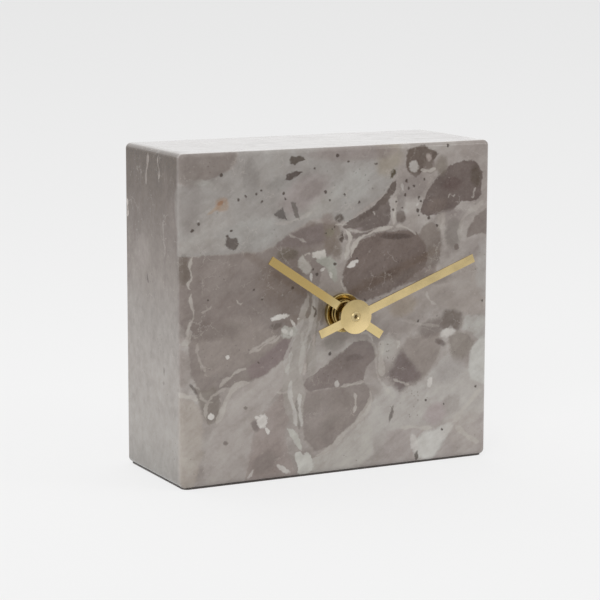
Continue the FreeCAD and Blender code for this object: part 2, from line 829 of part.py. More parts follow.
def lay_across(body):
    """Turn a body made about Y so that its axis runs along X through the coil."""
    turn_over = FreeCAD.Rotation(V(0, 0, 1), -90)
    body.Placement = FreeCAD.Placement(V(0, 0, 0), turn_over)
    bind(body, "Placement.Base.y", "places.coil_axis")
    place(body, "places.rotor_across", "places.coil_up")


def make_coil_bobbin():
    bobbin = piece("coil_bobbin")
    half = "sizes.bobbin_length / 2"
    cheek = f"{half} - sizes.bobbin_flange_thick"
    turn(
        bobbin,
        [
            ("sizes.bobbin_bore_radius", f"-{half}"),
            ("sizes.bobbin_flange_radius", f"-{half}"),
            ("sizes.bobbin_flange_radius", f"-({cheek})"),
            ("places.bobbin_core_radius", f"-({cheek})"),
            ("places.bobbin_core_radius", cheek),
            ("sizes.bobbin_flange_radius", cheek),
            ("sizes.bobbin_flange_radius", half),
            ("sizes.bobbin_bore_radius", half),
        ],
    )
    lay_across(bobbin)


def make_coil_winding():
    winding = piece("coil_winding")
    half = "(sizes.bobbin_length / 2 - sizes.bobbin_flange_thick - sizes.seat_clearance)"
    inner = "places.bobbin_core_radius + sizes.seat_clearance"
    outer = "sizes.bobbin_flange_radius - sizes.winding_inset"
    turn(winding, [(inner, f"-{half}"), (outer, f"-{half}"), (outer, half), (inner, half)])
    lay_across(winding)


# Circuit board with its chip and quartz crystal


def make_circuit_board():
    board = piece("circuit_board")
    drawing = sketch(board, "places.board_front")
    rectangle(drawing, "places.board_left", "places.board_right", "places.board_low", "places.board_top")
    pad(board, drawing, "sizes.board_thick")
    place(board)


def make_timing_chip():
    chip = piece("timing_chip")
    rear = "places.board_rear + sizes.chip_height"
    turn(
        chip,
        [
            ("0", "places.board_rear"),
            ("sizes.chip_radius", "places.board_rear"),
            ("sizes.chip_radius", "places.board_rear + sizes.chip_height / 3"),
            ("sizes.chip_radius * 2 / 3", rear),
            ("0", rear),
        ],
    )
    place(chip, "places.board_left + sizes.board_width / 4", "places.board_low + sizes.board_height / 2")


def make_quartz_crystal():
    crystal = doc.addObject("Part::Cylinder", "quartz_crystal")
    crystal.Label = "quartz_crystal"
    bind(crystal, "Radius", "sizes.crystal_radius")
    bind(crystal, "Height", "sizes.crystal_length")
    crystal.Placement = FreeCAD.Placement(V(0, 0, 0), FreeCAD.Rotation(V(0, 1, 0), 90))
    bind(crystal, "Placement.Base.y", "places.board_rear + sizes.crystal_radius")
    nodes.append(crystal)
    place(crystal, "places.board_left + sizes.board_width / 2", "places.board_low + sizes.board_height / 2")


# Battery, and the contact strips that lead to the board


def make_battery():
    battery = piece("battery")
    minus, plus = "places.battery_minus_end", "places.battery_plus_end"
    curve = "sizes.battery_edge_round"
    turn(
        battery,
        [
            ("0", minus),
            (f"sizes.battery_radius - {curve}", minus),
            ("sizes.battery_radius", f"{minus} + {curve}"),
            ("sizes.battery_radius", f"{plus} - {curve}"),
            (f"sizes.battery_radius - {curve}", plus),
            ("sizes.nub_radius", plus),
            ("sizes.nub_radius", "places.nub_tip"),
            ("0", "places.nub_tip"),
        ],
    )
    battery.Placement = FreeCAD.Placement(V(0, 0, 0), FreeCAD.Rotation(V(0, 0, 1), -90))
    bind(battery, "Placement.Base.y", "places.battery_axis")
    place(battery, "0", "(-places.battery_drop)")


def make_minus_contact():
    strip = piece("minus_contact")
    wall = "-places.half_inside"
    inner = f"{wall} + sizes.strip_thick"
    low = "-places.battery_drop - sizes.leaf_rise"
    high = "-places.battery_drop + sizes.leaf_rise"
    top = "places.board_top - sizes.board_post_drop"
    drawing = sketch(strip, "places.strip_front")
    outline(
        drawing,
        [
            (wall, low),
            (inner, low),
            ("places.leaf_tip", "-places.battery_drop"),
            (inner, high),
            (inner, top),
            (wall, top),
            (wall, high),
            ("places.leaf_tip - sizes.strip_thick", "-places.battery_drop"),
        ],
    )
    pad(strip, drawing, "sizes.strip_width")
    place(strip)


def make_plus_contact():
    strip = piece("plus_contact")
    wall = "places.half_inside"
    inner = f"{wall} - sizes.strip_thick"
    low = "-places.battery_drop - sizes.leaf_rise"
    end = "places.board_right - sizes.strip_lap"
    drawing = sketch(strip, "places.strip_front")
    outline(drawing, [(inner, low), (wall, low), (wall, wall), (end, wall), (end, inner), (inner, inner)])
    pad(strip, drawing, "sizes.strip_width")
    place(strip)


# Going train, from the rotor to the centre wheel


def make_going_train():
    rotor_phase = 0
    rotor_module = mesh_distance_to_module("sizes.rotor_distance", ROTOR_PINION_TEETH, INTERMEDIATE_TEETH)
    seconds_module = mesh_distance_to_module("sizes.seconds_distance", SECONDS_TEETH, INTERMEDIATE_PINION_TEETH)
    third_module = mesh_distance_to_module("sizes.third_distance", THIRD_TEETH, SECONDS_PINION_TEETH)
    centre_module = mesh_distance_to_module("sizes.third_distance", CENTRE_TEETH, THIRD_PINION_TEETH)
    thick = "sizes.wheel_thick"
    front_pivot = "places.train_plate_rear - sizes.pivot_depth"
    rear_pivot = "places.bridge_front + sizes.pivot_depth"

    magnet = piece("rotor_magnet")
    drawing = sketch(magnet, "places.magnet_front")
    circle(drawing, "sizes.magnet_radius")
    circle(drawing, "sizes.pivot_radius + sizes.seat_clearance")
    pad(magnet, drawing, "sizes.magnet_length")
    place(magnet, "places.rotor_across", "places.rotor_up")

    pinion_front = "places.magnet_front + sizes.magnet_length"
    leaves = toothed_disc(
        "rotor_leaves",
        ROTOR_PINION_TEETH,
        rotor_module,
        PINION_TOOTH_SHARES,
        rotor_phase,
        pinion_front,
        f"places.rotor_station + {thick} - ({pinion_front})",
    )
    arbor = rod("rotor_arbor", "sizes.pivot_radius", front_pivot, rear_pivot)
    place(joined("rotor_pinion", [leaves, arbor]), "places.rotor_across", "places.rotor_up")

    back_direction = math.radians(ROTOR_ANGLE) + math.pi
    wheel = toothed_disc(
        "intermediate_rim",
        INTERMEDIATE_TEETH,
        rotor_module,
        WHEEL_TOOTH_SHARES,
        mesh_phase(rotor_phase, ROTOR_PINION_TEETH, back_direction, INTERMEDIATE_TEETH),
        "places.rotor_station",
        thick,
    )
    leaves = toothed_disc(
        "intermediate_leaves",
        INTERMEDIATE_PINION_TEETH,
        seconds_module,
        PINION_TOOTH_SHARES,
        rotor_phase,
        "places.seconds_station",
        f"places.rotor_station + {thick} / 2 - places.seconds_station",
    )
    arbor = rod("intermediate_arbor", "sizes.pivot_radius", front_pivot, rear_pivot)
    intermediate = joined("intermediate_wheel", [wheel, leaves, arbor])
    place(intermediate, "places.intermediate_across", "places.intermediate_up")

    back_direction = math.radians(INTERMEDIATE_ANGLE) + math.pi
    wheel = toothed_disc(
        "seconds_rim",
        SECONDS_TEETH,
        seconds_module,
        WHEEL_TOOTH_SHARES,
        mesh_phase(rotor_phase, INTERMEDIATE_PINION_TEETH, back_direction, SECONDS_TEETH),
        "places.seconds_station",
        thick,
    )
    leaves = toothed_disc(
        "seconds_leaves",
        SECONDS_PINION_TEETH,
        third_module,
        PINION_TOOTH_SHARES,
        rotor_phase,
        "places.third_station",
        f"places.seconds_station + {thick} / 2 - places.third_station",
    )
    bore = rod(
        "seconds_bore",
        "sizes.seconds_arbor_radius + sizes.seat_clearance",
        "places.third_station - sizes.cut_overrun",
        "places.seconds_station + sizes.wheel_thick + sizes.cut_overrun",
    )
    place(joined("seconds_wheel", [wheel, leaves], [bore]))

    arbor = rod(
        "seconds_arbor",
        "sizes.seconds_arbor_radius",
        "places.arbor_front + sizes.seconds_recess",
        rear_pivot,
    )
    arbor.Label = "seconds_arbor"
    nodes.append(arbor)
    place(arbor)

    wheel = toothed_disc(
        "third_rim",
        THIRD_TEETH,
        third_module,
        WHEEL_TOOTH_SHARES,
        mesh_phase(rotor_phase, SECONDS_PINION_TEETH, math.radians(THIRD_ANGLE), THIRD_TEETH),
        "places.third_station",
        thick,
    )
    leaves = toothed_disc(
        "third_leaves",
        THIRD_PINION_TEETH,
        centre_module,
        PINION_TOOTH_SHARES,
        rotor_phase,
        "places.centre_station",
        f"places.third_station + {thick} / 2 - places.centre_station",
    )
    arbor = rod("third_arbor", "sizes.pivot_radius", front_pivot, rear_pivot)
    place(joined("third_wheel", [wheel, leaves, arbor]), "places.third_across", "places.third_up")

    back_direction = math.radians(THIRD_ANGLE) + math.pi
    wheel = toothed_disc(
        "centre_rim",
        CENTRE_TEETH,
        centre_module,
        WHEEL_TOOTH_SHARES,
        mesh_phase(rotor_phase, THIRD_PINION_TEETH, back_direction, CENTRE_TEETH),
        "places.centre_station",
        thick,
    )
    hub = rod(
        "centre_hub",
        "sizes.clutch_hub_radius",
        "places.centre_station - sizes.clutch_hub_ahead",
        "places.centre_station + sizes.wheel_thick / 2",
    )
    bore = rod(
        "centre_bore",
        "sizes.minute_arbor_radius + sizes.clutch_clearance",
        "places.centre_station - sizes.cut_overrun",
        "places.centre_station + sizes.wheel_thick + sizes.cut_overrun",
    )
    place(joined("centre_wheel", [wheel, hub], [bore]))


# Motion work behind the dial, and the setting shaft with its knob


def make_motion_work():
    phase = 0
    motion_module = mesh_distance_to_module("sizes.motion_distance", CANNON_TEETH, TRANSMISSION_TEETH)
    hour_module = mesh_distance_to_module("sizes.motion_distance", HOUR_TEETH, TRANSMISSION_PINION_TEETH)
    thick = "sizes.wheel_thick"

    leaves = toothed_disc(
        "cannon_leaves",
        CANNON_TEETH,
        motion_module,
        PINION_TOOTH_SHARES,
        phase,
        "places.motion_station",
        thick,
    )
    tube = rod("minute_tube", "sizes.minute_arbor_radius", "places.arbor_shoulder", "places.arbor_rear")
    tip = rod(
        "minute_tip",
        "sizes.minute_tip_radius",
        "places.arbor_front + sizes.arbor_chamfer",
        "places.arbor_shoulder + sizes.cut_overrun",
    )
    cone = doc.addObject("Part::Cone", "minute_tip_cone")
    bind(cone, "Radius1", "sizes.minute_tip_radius - sizes.arbor_chamfer")
    bind(cone, "Radius2", "sizes.minute_tip_radius")
    bind(cone, "Height", "sizes.arbor_chamfer")
    cone.Placement = FreeCAD.Placement(V(0, 0, 0), FreeCAD.Rotation(V(1, 0, 0), -90))
    bind(cone, "Placement.Base.y", "places.arbor_front")
    bore = rod(
        "minute_bore",
        "places.arbor_bore",
        "places.arbor_front - sizes.cut_overrun",
        "places.arbor_rear + sizes.cut_overrun",
    )
    countersink = doc.addObject("Part::Cone", "minute_countersink")
    bind(countersink, "Radius1", "places.arbor_bore + sizes.arbor_countersink")
    bind(countersink, "Radius2", "places.arbor_bore")
    bind(countersink, "Height", "sizes.arbor_countersink")
    countersink.Placement = FreeCAD.Placement(V(0, 0, 0), FreeCAD.Rotation(V(1, 0, 0), -90))
    bind(countersink, "Placement.Base.y", "places.arbor_front")
    place(joined("minute_arbor", [leaves, tube, tip, cone], [bore, countersink]))

    direction = math.radians(TRANSMISSION_ANGLE)
    transmission_phase = mesh_phase(phase, CANNON_TEETH, direction, TRANSMISSION_TEETH)
    wheel = toothed_disc(
        "transmission_rim",
        TRANSMISSION_TEETH,
        motion_module,
        WHEEL_TOOTH_SHARES,
        transmission_phase,
        "places.motion_station",
        thick,
    )
    leaves = toothed_disc(
        "transmission_leaves",
        TRANSMISSION_PINION_TEETH,
        hour_module,
        PINION_TOOTH_SHARES,
        phase,
        "places.hour_station",
        f"places.motion_station + {thick} / 2 - places.hour_station",
    )
    arbor = rod(
        "transmission_arbor",
        "sizes.transmission_arbor_radius",
        "places.case_inside - sizes.pivot_depth + sizes.running_clearance",
        "places.train_plate_front + sizes.pivot_depth",
    )
    transmission = joined("transmission_wheel", [wheel, leaves, arbor])
    place(transmission, "places.transmission_across", "places.transmission_up")

    wheel = toothed_disc(
        "hour_rim",
        HOUR_TEETH,
        hour_module,
        WHEEL_TOOTH_SHARES,
        mesh_phase(phase, TRANSMISSION_PINION_TEETH, direction + math.pi, HOUR_TEETH),
        "places.hour_station",
        thick,
    )
    pipe = rod(
        "hour_pipe",
        "sizes.hour_pipe_radius",
        "places.pipe_front",
        "places.hour_station + sizes.wheel_thick / 2",
    )
    bore = rod(
        "hour_bore",
        "places.pipe_bore",
        "places.pipe_front - sizes.cut_overrun",
        "places.hour_station + sizes.wheel_thick + sizes.cut_overrun",
    )
    place(joined("hour_wheel", [wheel, pipe], [bore]))

    leaves = toothed_disc(
        "setting_leaves",
        SETTING_TEETH,
        motion_module,
        PINION_TOOTH_SHARES,
        mesh_phase(transmission_phase, TRANSMISSION_TEETH, math.radians(SETTING_ANGLE), SETTING_TEETH),
        "places.motion_station",
        thick,
    )
    shaft = rod(
        "setting_rod",
        "sizes.setting_shaft_radius",
        "places.case_inside - sizes.pivot_depth + sizes.running_clearance",
        "places.knob_rear - sizes.case_wall",
    )
    place(joined("setting_shaft", [leaves, shaft]), "places.setting_across", "places.setting_up")


def make_setting_knob():
    knob = piece("setting_knob")
    drawing = sketch(knob, "places.knob_front")
    circle(drawing, "sizes.knob_radius")
    disc = pad(knob, drawing, "sizes.knob_height")
    rear = value("places.knob_rear")

    def rear_edge(edge):
        return abs(edge.CenterOfMass.y - rear) < value("sizes.seat_clearance")

    round_edges(knob, disc, "sizes.knob_edge_round", rear_edge)
    drawing = sketch(knob, "places.knob_front - sizes.cut_overrun")
    circle(drawing, "sizes.knob_flute_radius", "sizes.knob_radius", "0")
    flute = pocket(knob, drawing, "sizes.knob_height + 2 * sizes.cut_overrun")
    doc.recompute()
    flutes = knob.newObject("PartDesign::PolarPattern", "knob_flutes")
    flutes.Originals = [flute]
    flutes.Axis = (drawing, ["N_Axis"])
    flutes.Angle = 360
    flutes.Occurrences = KNOB_FLUTES
    knob.Tip = flutes
    drawing = sketch(knob, "places.knob_front - sizes.cut_overrun")
    circle(drawing, "sizes.setting_shaft_radius + sizes.seat_clearance")
    pocket(knob, drawing, "places.knob_rear - sizes.case_wall - places.knob_front + sizes.cut_overrun")
    place(knob, "places.setting_across", "places.setting_up")


# Hands: flat strips with a disc and a collet


def make_hand(label, direction, reach, tail, disc_radius, front, collet_radius, collet_length, bore):
    hand = piece(label)
    half = "sizes.hand_width / 2"
    drawing = sketch(hand, front)
    rectangle(drawing, f"-({tail})", reach, f"-{half}", half)
    pad(hand, drawing, "sizes.hand_thick")
    drawing = sketch(hand, front)
    circle(drawing, disc_radius)
    pad(hand, drawing, "sizes.hand_thick")
    drawing = sketch(hand, f"{front} + sizes.hand_thick")
    circle(drawing, collet_radius)
    pad(hand, drawing, collet_length)
    drawing = sketch(hand, f"{front} - sizes.cut_overrun")
    circle(drawing, bore)
    pocket(hand, drawing, f"sizes.hand_thick + {collet_length} + 2 * sizes.cut_overrun")
    hand.Placement = FreeCAD.Placement(V(0, 0, 0), FreeCAD.Rotation(V(0, 1, 0), -direction))
    place(hand)


def make_hands():
    make_hand(
        "hour_hand",
        HOUR_HAND_ANGLE,
        "sizes.short_hand_length",
        "sizes.short_tail_length",
        "sizes.short_hand_disc_radius",
        "places.hour_hand_front",
        "sizes.short_collet_radius",
        "sizes.short_collet_length",
        "sizes.hour_pipe_radius + sizes.seat_clearance",
    )
    make_hand(
        "minute_hand",
        MINUTE_HAND_ANGLE,
        "sizes.long_hand_length",
        "sizes.long_tail_length",
        "sizes.long_hand_disc_radius",
        "places.minute_hand_front",
        "sizes.long_collet_radius",
        "sizes.long_collet_length",
        "sizes.minute_tip_radius + sizes.seat_clearance",
    )


make_marble_block()
make_base_pad()
make_threaded_bush()
make_dial_nut()
make_rubber_washer()
make_movement_case()
make_rear_cover()
make_train_plate()
make_rear_bridge()
make_bridge_screws()
make_stator()
make_coil_core()
make_coil_bobbin()
make_coil_winding()
make_circuit_board()
make_timing_chip()
make_quartz_crystal()
make_battery()
make_minus_contact()
make_plus_contact()
make_going_train()
make_motion_work()
make_setting_knob()
make_hands()
doc.recompute()

# Every object must have built before anything is written

for item in doc.Objects:
    if "Invalid" in item.State or "Error" in item.State:
        raise RuntimeError(f"{item.Label} failed: {item.State}")
os.makedirs("parts", exist_ok=True)
for node in nodes:
    shape = node.Shape
    if shape.isNull() or not shape.isValid():
        raise RuntimeError(f"{node.Label} has no valid shape")
    box = shape.BoundBox
    print(
        f"{node.Label:20s} solids {len(shape.Solids)} volume {shape.Volume:10.2f}"
        f"  x {box.XMin:7.2f} {box.XMax:7.2f}  y {box.YMin:7.2f} {box.YMax:7.2f}"
        f"  z {box.ZMin:7.2f} {box.ZMax:7.2f}"
    )
for node in nodes:
    node.Shape.exportStep(f"parts/{node.Label}.step")
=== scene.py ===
"""Looks of the small stone table clock: materials for every node, stage, lamps and camera."""
import json
import math

import bpy
from mathutils import Matrix, Vector


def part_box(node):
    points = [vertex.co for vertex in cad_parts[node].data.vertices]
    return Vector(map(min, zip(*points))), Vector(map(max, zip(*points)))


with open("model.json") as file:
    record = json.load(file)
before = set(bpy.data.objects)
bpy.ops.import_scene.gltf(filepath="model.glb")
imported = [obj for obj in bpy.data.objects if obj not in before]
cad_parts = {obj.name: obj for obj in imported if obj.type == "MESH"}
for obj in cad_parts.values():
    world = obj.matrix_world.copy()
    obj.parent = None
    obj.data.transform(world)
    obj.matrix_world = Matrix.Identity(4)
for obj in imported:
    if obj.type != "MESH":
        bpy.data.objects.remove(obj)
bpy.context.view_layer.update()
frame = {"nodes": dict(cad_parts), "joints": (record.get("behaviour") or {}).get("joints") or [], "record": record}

nodes = frame["nodes"]

MM = 0.001
PER_M = 1000.0

# The stone block's left and front faces and the height of the hands' axis, in millimetres.
LEFT_X, FRONT_Y = (place * PER_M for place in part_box("marble_block")[0][:2])
joints = {joint["name"]: joint for joint in frame["joints"]}
HAND_Z = joints["minute_turn"]["pos_m"][2] * PER_M

# Depth over which the front's own figure gives way to the stone's general one.
FIGURE_DEPTH_START = 1.2
FIGURE_DEPTH_END = 3.6

# The front's figure was measured from a line this much below the block's foot.
FIGURE_RISE = 0.42

# A colour of the stone is written as it looks in daylight (0 to 255). The polish adds a thin white haze.
HAZE_SHARE = 0.034
LIGHT_SHARE = 0.93
WHITE_LEVEL = 255.0

# Kinds of noise: detail and roughness.
CLOUDY = (3.0, 0.5)
DRIFTING = (3.0, 0.55)
WAVERING = (3.0, 0.6)
MOTTLED = (4.0, 0.55)
GRAINY = (4.0, 0.6)
COARSE_GRAINY = (4.0, 0.7)
TORN = (4.0, 0.75)
GRITTY = (5.0, 0.75)

# Levels between which a noise changes a finish.
WIDE_LEVELS = (0.25, 0.75)
NARROW_LEVELS = (0.3, 0.7)


def linear(level):
    """One sRGB level from 0 to 255 as scene-linear light."""
    v = level / WHITE_LEVEL
    return v / 12.92 if v <= 0.04045 else ((v + 0.055) / 1.055) ** 2.4


def colour(r, g, b):
    """An sRGB colour from 0 to 255 as linear RGBA."""
    return (linear(r), linear(g), linear(b), 1.0)


def stone(r, g, b):
    """The stone's own colour where its polished face looks like this sRGB colour."""
    return tuple(max(0.0, (linear(v) - HAZE_SHARE) / LIGHT_SHARE) for v in (r, g, b)) + (1.0,)


class Nodes:
    """Short calls that add nodes to a tree. A value may be a number or another node's socket."""

    def __init__(self, tree):
        self.tree = tree

    def add(self, kind):
        return self.tree.nodes.new(kind)

    def put(self, socket, value):
        if isinstance(value, bpy.types.NodeSocket):
            self.tree.links.new(value, socket)
        else:
            socket.default_value = value

    def math(self, operation, a, b=0.0, c=0.0):
        node = self.add("ShaderNodeMath")
        node.operation = operation
        for socket, value in zip(node.inputs, (a, b, c)):
            self.put(socket, value)
        return node.outputs[0]

    def vector(self, operation, a, b=(0.0, 0.0, 0.0), scale=1.0):
        node = self.add("ShaderNodeVectorMath")
        node.operation = operation
        self.put(node.inputs[0], a)
        if operation == "SCALE":
            self.put(node.inputs["Scale"], scale)
        elif operation != "LENGTH":
            self.put(node.inputs[1], b)
        return node.outputs["Value" if operation in ("LENGTH", "DOT_PRODUCT", "DISTANCE") else "Vector"]

    def combine(self, x, y, z):
        node = self.add("ShaderNodeCombineXYZ")
        for socket, value in zip(node.inputs, (x, y, z)):
            self.put(socket, value)
        return node.outputs[0]

    def split(self, vector):
        node = self.add("ShaderNodeSeparateXYZ")
        self.put(node.inputs[0], vector)
        return node.outputs

    def local(self, vector, size, angle=0.0):
        """The vector turned about Z and divided by a size, which stretches what is drawn on it."""
        node = self.add("ShaderNodeMapping")
        node.vector_type = "TEXTURE"
        self.put(node.inputs["Vector"], vector)
        node.inputs["Rotation"].default_value = (0.0, 0.0, angle)
        node.inputs["Scale"].default_value = size
        return node.outputs[0]

    def noise(self, vector, size, detail=2.0, rough=0.5, output="Fac"):
        """Noise whose largest features are about size millimetres across."""
        node = self.add("ShaderNodeTexNoise")
        self.put(node.inputs["Vector"], vector)
        node.inputs["Scale"].default_value = 1.0 / size
        node.inputs["Detail"].default_value = detail
        node.inputs["Roughness"].default_value = rough
        return node.outputs[output]

    def cells(self, vector, size, feature="F1", output="Distance"):
        """Cells about size millimetres across, each round a point of its own."""
        node = self.add("ShaderNodeTexVoronoi")
        node.feature = feature
        self.put(node.inputs["Vector"], vector)
        node.inputs["Scale"].default_value = 1.0 / size
        return node.outputs[output]

    def span(self, value, low, high, to_low=0.0, to_high=1.0, smooth=True):
        """The value moved from the range low to high into another one, and held within it."""
        node = self.add("ShaderNodeMapRange")
        node.interpolation_type = "SMOOTHSTEP" if smooth else "LINEAR"
        node.clamp = not smooth
        for socket, v in zip(node.inputs, (value, low, high, to_low, to_high)):
            self.put(socket, v)
        return node.outputs[0]

    def patchy(self, vector, size, levels, detail=2.0, rough=0.5):
        """Noise held between two levels: 0 and 1 in patches about size millimetres across."""
        return self.span(self.noise(vector, size, detail, rough), *levels)

    def ramp(self, value, stops):
        """A colour that runs through the stops: position and colour of each."""
        node = self.add("ShaderNodeValToRGB")
        self.put(node.inputs[0], value)
        elements = node.color_ramp.elements
        while len(elements) < len(stops):
            elements.new(1.0)
        for element, (position, tone) in zip(elements, stops):
            element.position = position
            element.color = tone
        return node.outputs[0]

    def mix(self, share, a, b, blend="MIX"):
        node = self.add("ShaderNodeMix")
        node.data_type = "RGBA"
        node.blend_type = blend
        self.put(node.inputs["Factor"], share)
        self.put(node.inputs[6], a)
        self.put(node.inputs[7], b)
        return node.outputs[2]

    def blend(self, share, a, b):
        """The number a, or b where the share is 1."""
        node = self.add("ShaderNodeMix")
        for socket, value in zip((node.inputs[0], node.inputs[2], node.inputs[3]), (share, a, b)):
            self.put(socket, value)
        return node.outputs[0]

    def over(self, under, tint, mask, strength):
        """The tint laid over a colour where the mask is 1, at that strength."""
        return self.mix(self.math("MULTIPLY", mask, strength), under, tint)

    def extreme(self, operation, values):
        """The largest or the smallest of the values. Each is made just before it is compared."""
        found = None
        for value in values:
            found = value if found is None else self.math(operation, found, value)
        return found

    def bent(self, place, coarse, coarse_reach, fine, fine_reach):
        """A place moved by two bends, each as far as its reach."""
        coarse = self.vector("SCALE", coarse, scale=coarse_reach)
        fine = self.vector("SCALE", fine, scale=fine_reach)
        return self.vector("ADD", place, self.vector("ADD", coarse, fine))

    def use(self, tree, place, uneven, tone):
        """A group that paints on a colour."""
        node = self.add("ShaderNodeGroup")
        node.node_tree = tree
        for socket, value in zip(node.inputs, (place, uneven, tone)):
            self.put(socket, value)
        return node.outputs[0]

    def curve(self, value, points, sharp=False):
        """A number read off a curve through the points."""
        node = self.add("ShaderNodeFloatCurve")
        self.put(node.inputs["Value"], value)
        mapping = node.mapping
        mapping.use_clip = False
        line = mapping.curves[0]
        while len(line.points) < len(points):
            line.points.new(*points[-1])
        for point, (x, y) in zip(line.points, points):
            point.location = (x, y)
            point.handle_type = "VECTOR" if sharp else "AUTO"
        mapping.update()
        return node.outputs[0]


class Shader(Nodes):
    """A material with one surface shader."""

    def __init__(self, name):
        self.material = bpy.data.materials.new(name)
        self.material.use_nodes = True
        super().__init__(self.material.node_tree)
        self.tree.nodes.clear()
        self.surface = self.add("ShaderNodeBsdfPrincipled")
        output = self.add("ShaderNodeOutputMaterial")
        self.tree.links.new(self.surface.outputs["BSDF"], output.inputs["Surface"])
        place = self.add("ShaderNodeTexCoord")
        self.place = self.vector("SCALE", place.outputs["Object"], scale=PER_M)

    def set(self, **values):
        """Sets the surface shader's inputs by name, such as base_color or roughness."""
        for key, value in values.items():
            self.put(self.surface.inputs[key.replace("_", " ").title()], value)

    def bump(self, height, depth):
        """A bump of that many millimetres."""
        node = self.add("ShaderNodeBump")
        node.inputs["Strength"].default_value = 1.0
        node.inputs["Distance"].default_value = depth * MM
        self.put(node.inputs["Height"], height)
        self.put(self.surface.inputs["Normal"], node.outputs[0])


# Stone figure. Outlines are lists of (x, z) on the front face, in millimetres. Colours are as the
# polished face looks. The raggedness is how far the edge of each kind of mark strays.
OUTLINE_STEPS = 60
RAGGED_SIZE = 1.6
EDGE_RAGGED = 1.9
VEIN_RAGGED = 0.9
CRYSTAL_RAGGED = 2.6
CLOUD_RAGGED = 1.4
SPECK_RAGGED = 0.8
SPECK_SOFTNESS = 0.2
SPECK_SHARE = 0.9
VEIN_TAPER_SHARE = 0.06
BLOB_SOFTNESS_SHARE = 0.25
CLOUD_SOFTNESS_SHARE = 0.4
VEIN_SOFTNESS = 0.25


def reach(outline, centre, angle):
    """Distance from the centre to the outline in that direction."""
    dx, dz = math.cos(angle), math.sin(angle)
    best = 0.0
    for (x0, z0), (x1, z1) in zip(outline, outline[1:] + outline[:1]):
        ex, ez = x1 - x0, z1 - z0
        cross = dx * ez - dz * ex
        if cross == 0:
            continue
        along = ((x0 - centre[0]) * ez - (z0 - centre[1]) * ex) / cross
        share = ((x0 - centre[0]) * dz - (z0 - centre[1]) * dx) / cross
        if along > 0 and 0 <= share <= 1:
            best = max(best, along)
    return best


def ragged(g, uneven, strength):
    """A small value either side of zero that makes the edges of painted marks ragged."""
    return g.math("MULTIPLY_ADD", uneven, strength, -strength / 2)


def patch(g, where, outline, softness, uneven):
    """Mask of a patch with that outline: 1 inside, 0 outside."""
    cx, cz = (sum(p[i] for p in outline) / len(outline) for i in (0, 1))
    dx = g.vector("DOT_PRODUCT", where, (1.0, 0.0, -cx))
    dz = g.vector("DOT_PRODUCT", where, (0.0, 1.0, -cz))
    radii = []
    for k in range(OUTLINE_STEPS + 1):
        turned = (2 * k / OUTLINE_STEPS - 1) * math.pi
        radii.append((turned, reach(outline, (cx, cz), turned)))
    edge = g.curve(g.math("ARCTAN2", dz, dx), radii, sharp=True)
    away = g.math("SQRT", g.math("MULTIPLY_ADD", dx, dx, g.math("MULTIPLY", dz, dz)))
    return g.span(g.math("ADD", g.math("SUBTRACT", away, edge), uneven), softness, -softness)


def blob(g, where, centre, size, angle, uneven, softness_share=BLOB_SOFTNESS_SHARE):
    """Mask of a turned ellipse with those half sizes; angle in degrees."""
    c, n = math.cos(math.radians(angle)), math.sin(math.radians(angle))
    cx, cz = centre
    a, b = size
    u = g.vector("DOT_PRODUCT", where, (c / a, n / a, -(cx * c + cz * n) / a))
    v = g.vector("DOT_PRODUCT", where, (-n / b, c / b, (cx * n - cz * c) / b))
    square = g.math("MULTIPLY_ADD", u, u, g.math("MULTIPLY_ADD", v, v, uneven))
    return g.span(square, (1 + softness_share) ** 2, (1 - softness_share) ** 2)


def cloud(g, where, centre, size, angle, uneven):
    """Mask of a turned ellipse with soft edges."""
    return blob(g, where, centre, size, angle, uneven, CLOUD_SOFTNESS_SHARE)


def vein(g, where, points, width, uneven):
    """Mask of a vein through the points. It narrows to nothing at both ends."""
    (x0, z0), (x1, z1) = points[0], points[-1]
    length = math.hypot(x1 - x0, z1 - z0)
    ux, uz = (x1 - x0) / length, (z1 - z0) / length
    middle = [((x - x0) * ux + (z - z0) * uz, -(x - x0) * uz + (z - z0) * ux) for x, z in points]
    u = g.vector("DOT_PRODUCT", where, (ux, uz, -(x0 * ux + z0 * uz)))
    v = g.vector("DOT_PRODUCT", where, (-uz, ux, x0 * uz - z0 * ux))
    offset = g.math("ABSOLUTE", g.math("SUBTRACT", v, g.curve(u, middle)))
    half = width / 2
    nothing = -2 * VEIN_SOFTNESS
    taper = length * VEIN_TAPER_SHARE
    ends = [(0.0, nothing), (taper, half), (length / 2, half), (length - taper, half), (length, nothing)]
    gap = g.math("SUBTRACT", offset, g.curve(u, ends))
    return g.span(g.math("ADD", gap, uneven), VEIN_SOFTNESS, -VEIN_SOFTNESS)


def group(name, paint):
    """A node group: it takes a place on a face, an uneven value and a colour, and paints on the colour."""
    tree = bpy.data.node_groups.new(name, "ShaderNodeTree")
    tree.interface.new_socket("Place", in_out="INPUT", socket_type="NodeSocketVector")
    tree.interface.new_socket("Uneven", in_out="INPUT", socket_type="NodeSocketFloat")
    tree.interface.new_socket("Colour", in_out="INPUT", socket_type="NodeSocketColor")
    tree.interface.new_socket("Colour", in_out="OUTPUT", socket_type="NodeSocketColor")
    source = tree.nodes.new("NodeGroupInput")
    sink = tree.nodes.new("NodeGroupOutput")
    g = Nodes(tree)
    g.put(sink.inputs[0], paint(g, *list(source.outputs)[:3]))
    return tree


# A painter takes a table of marks and gives the function that paints them in a group. Each row starts
# with the mark's shape, as its mask takes it, and ends with its strength share.
def laid(table, mask, stray):
    """Lays each mark over those before it, in the colour that its row gives before the strength."""
    def paint(g, where, noise, tone):
        uneven = ragged(g, noise, stray)
        for *shape, tint, strength in table:
            tone = g.over(tone, stone(*tint), mask(g, where, *shape, uneven), strength)
        return tone
    return paint


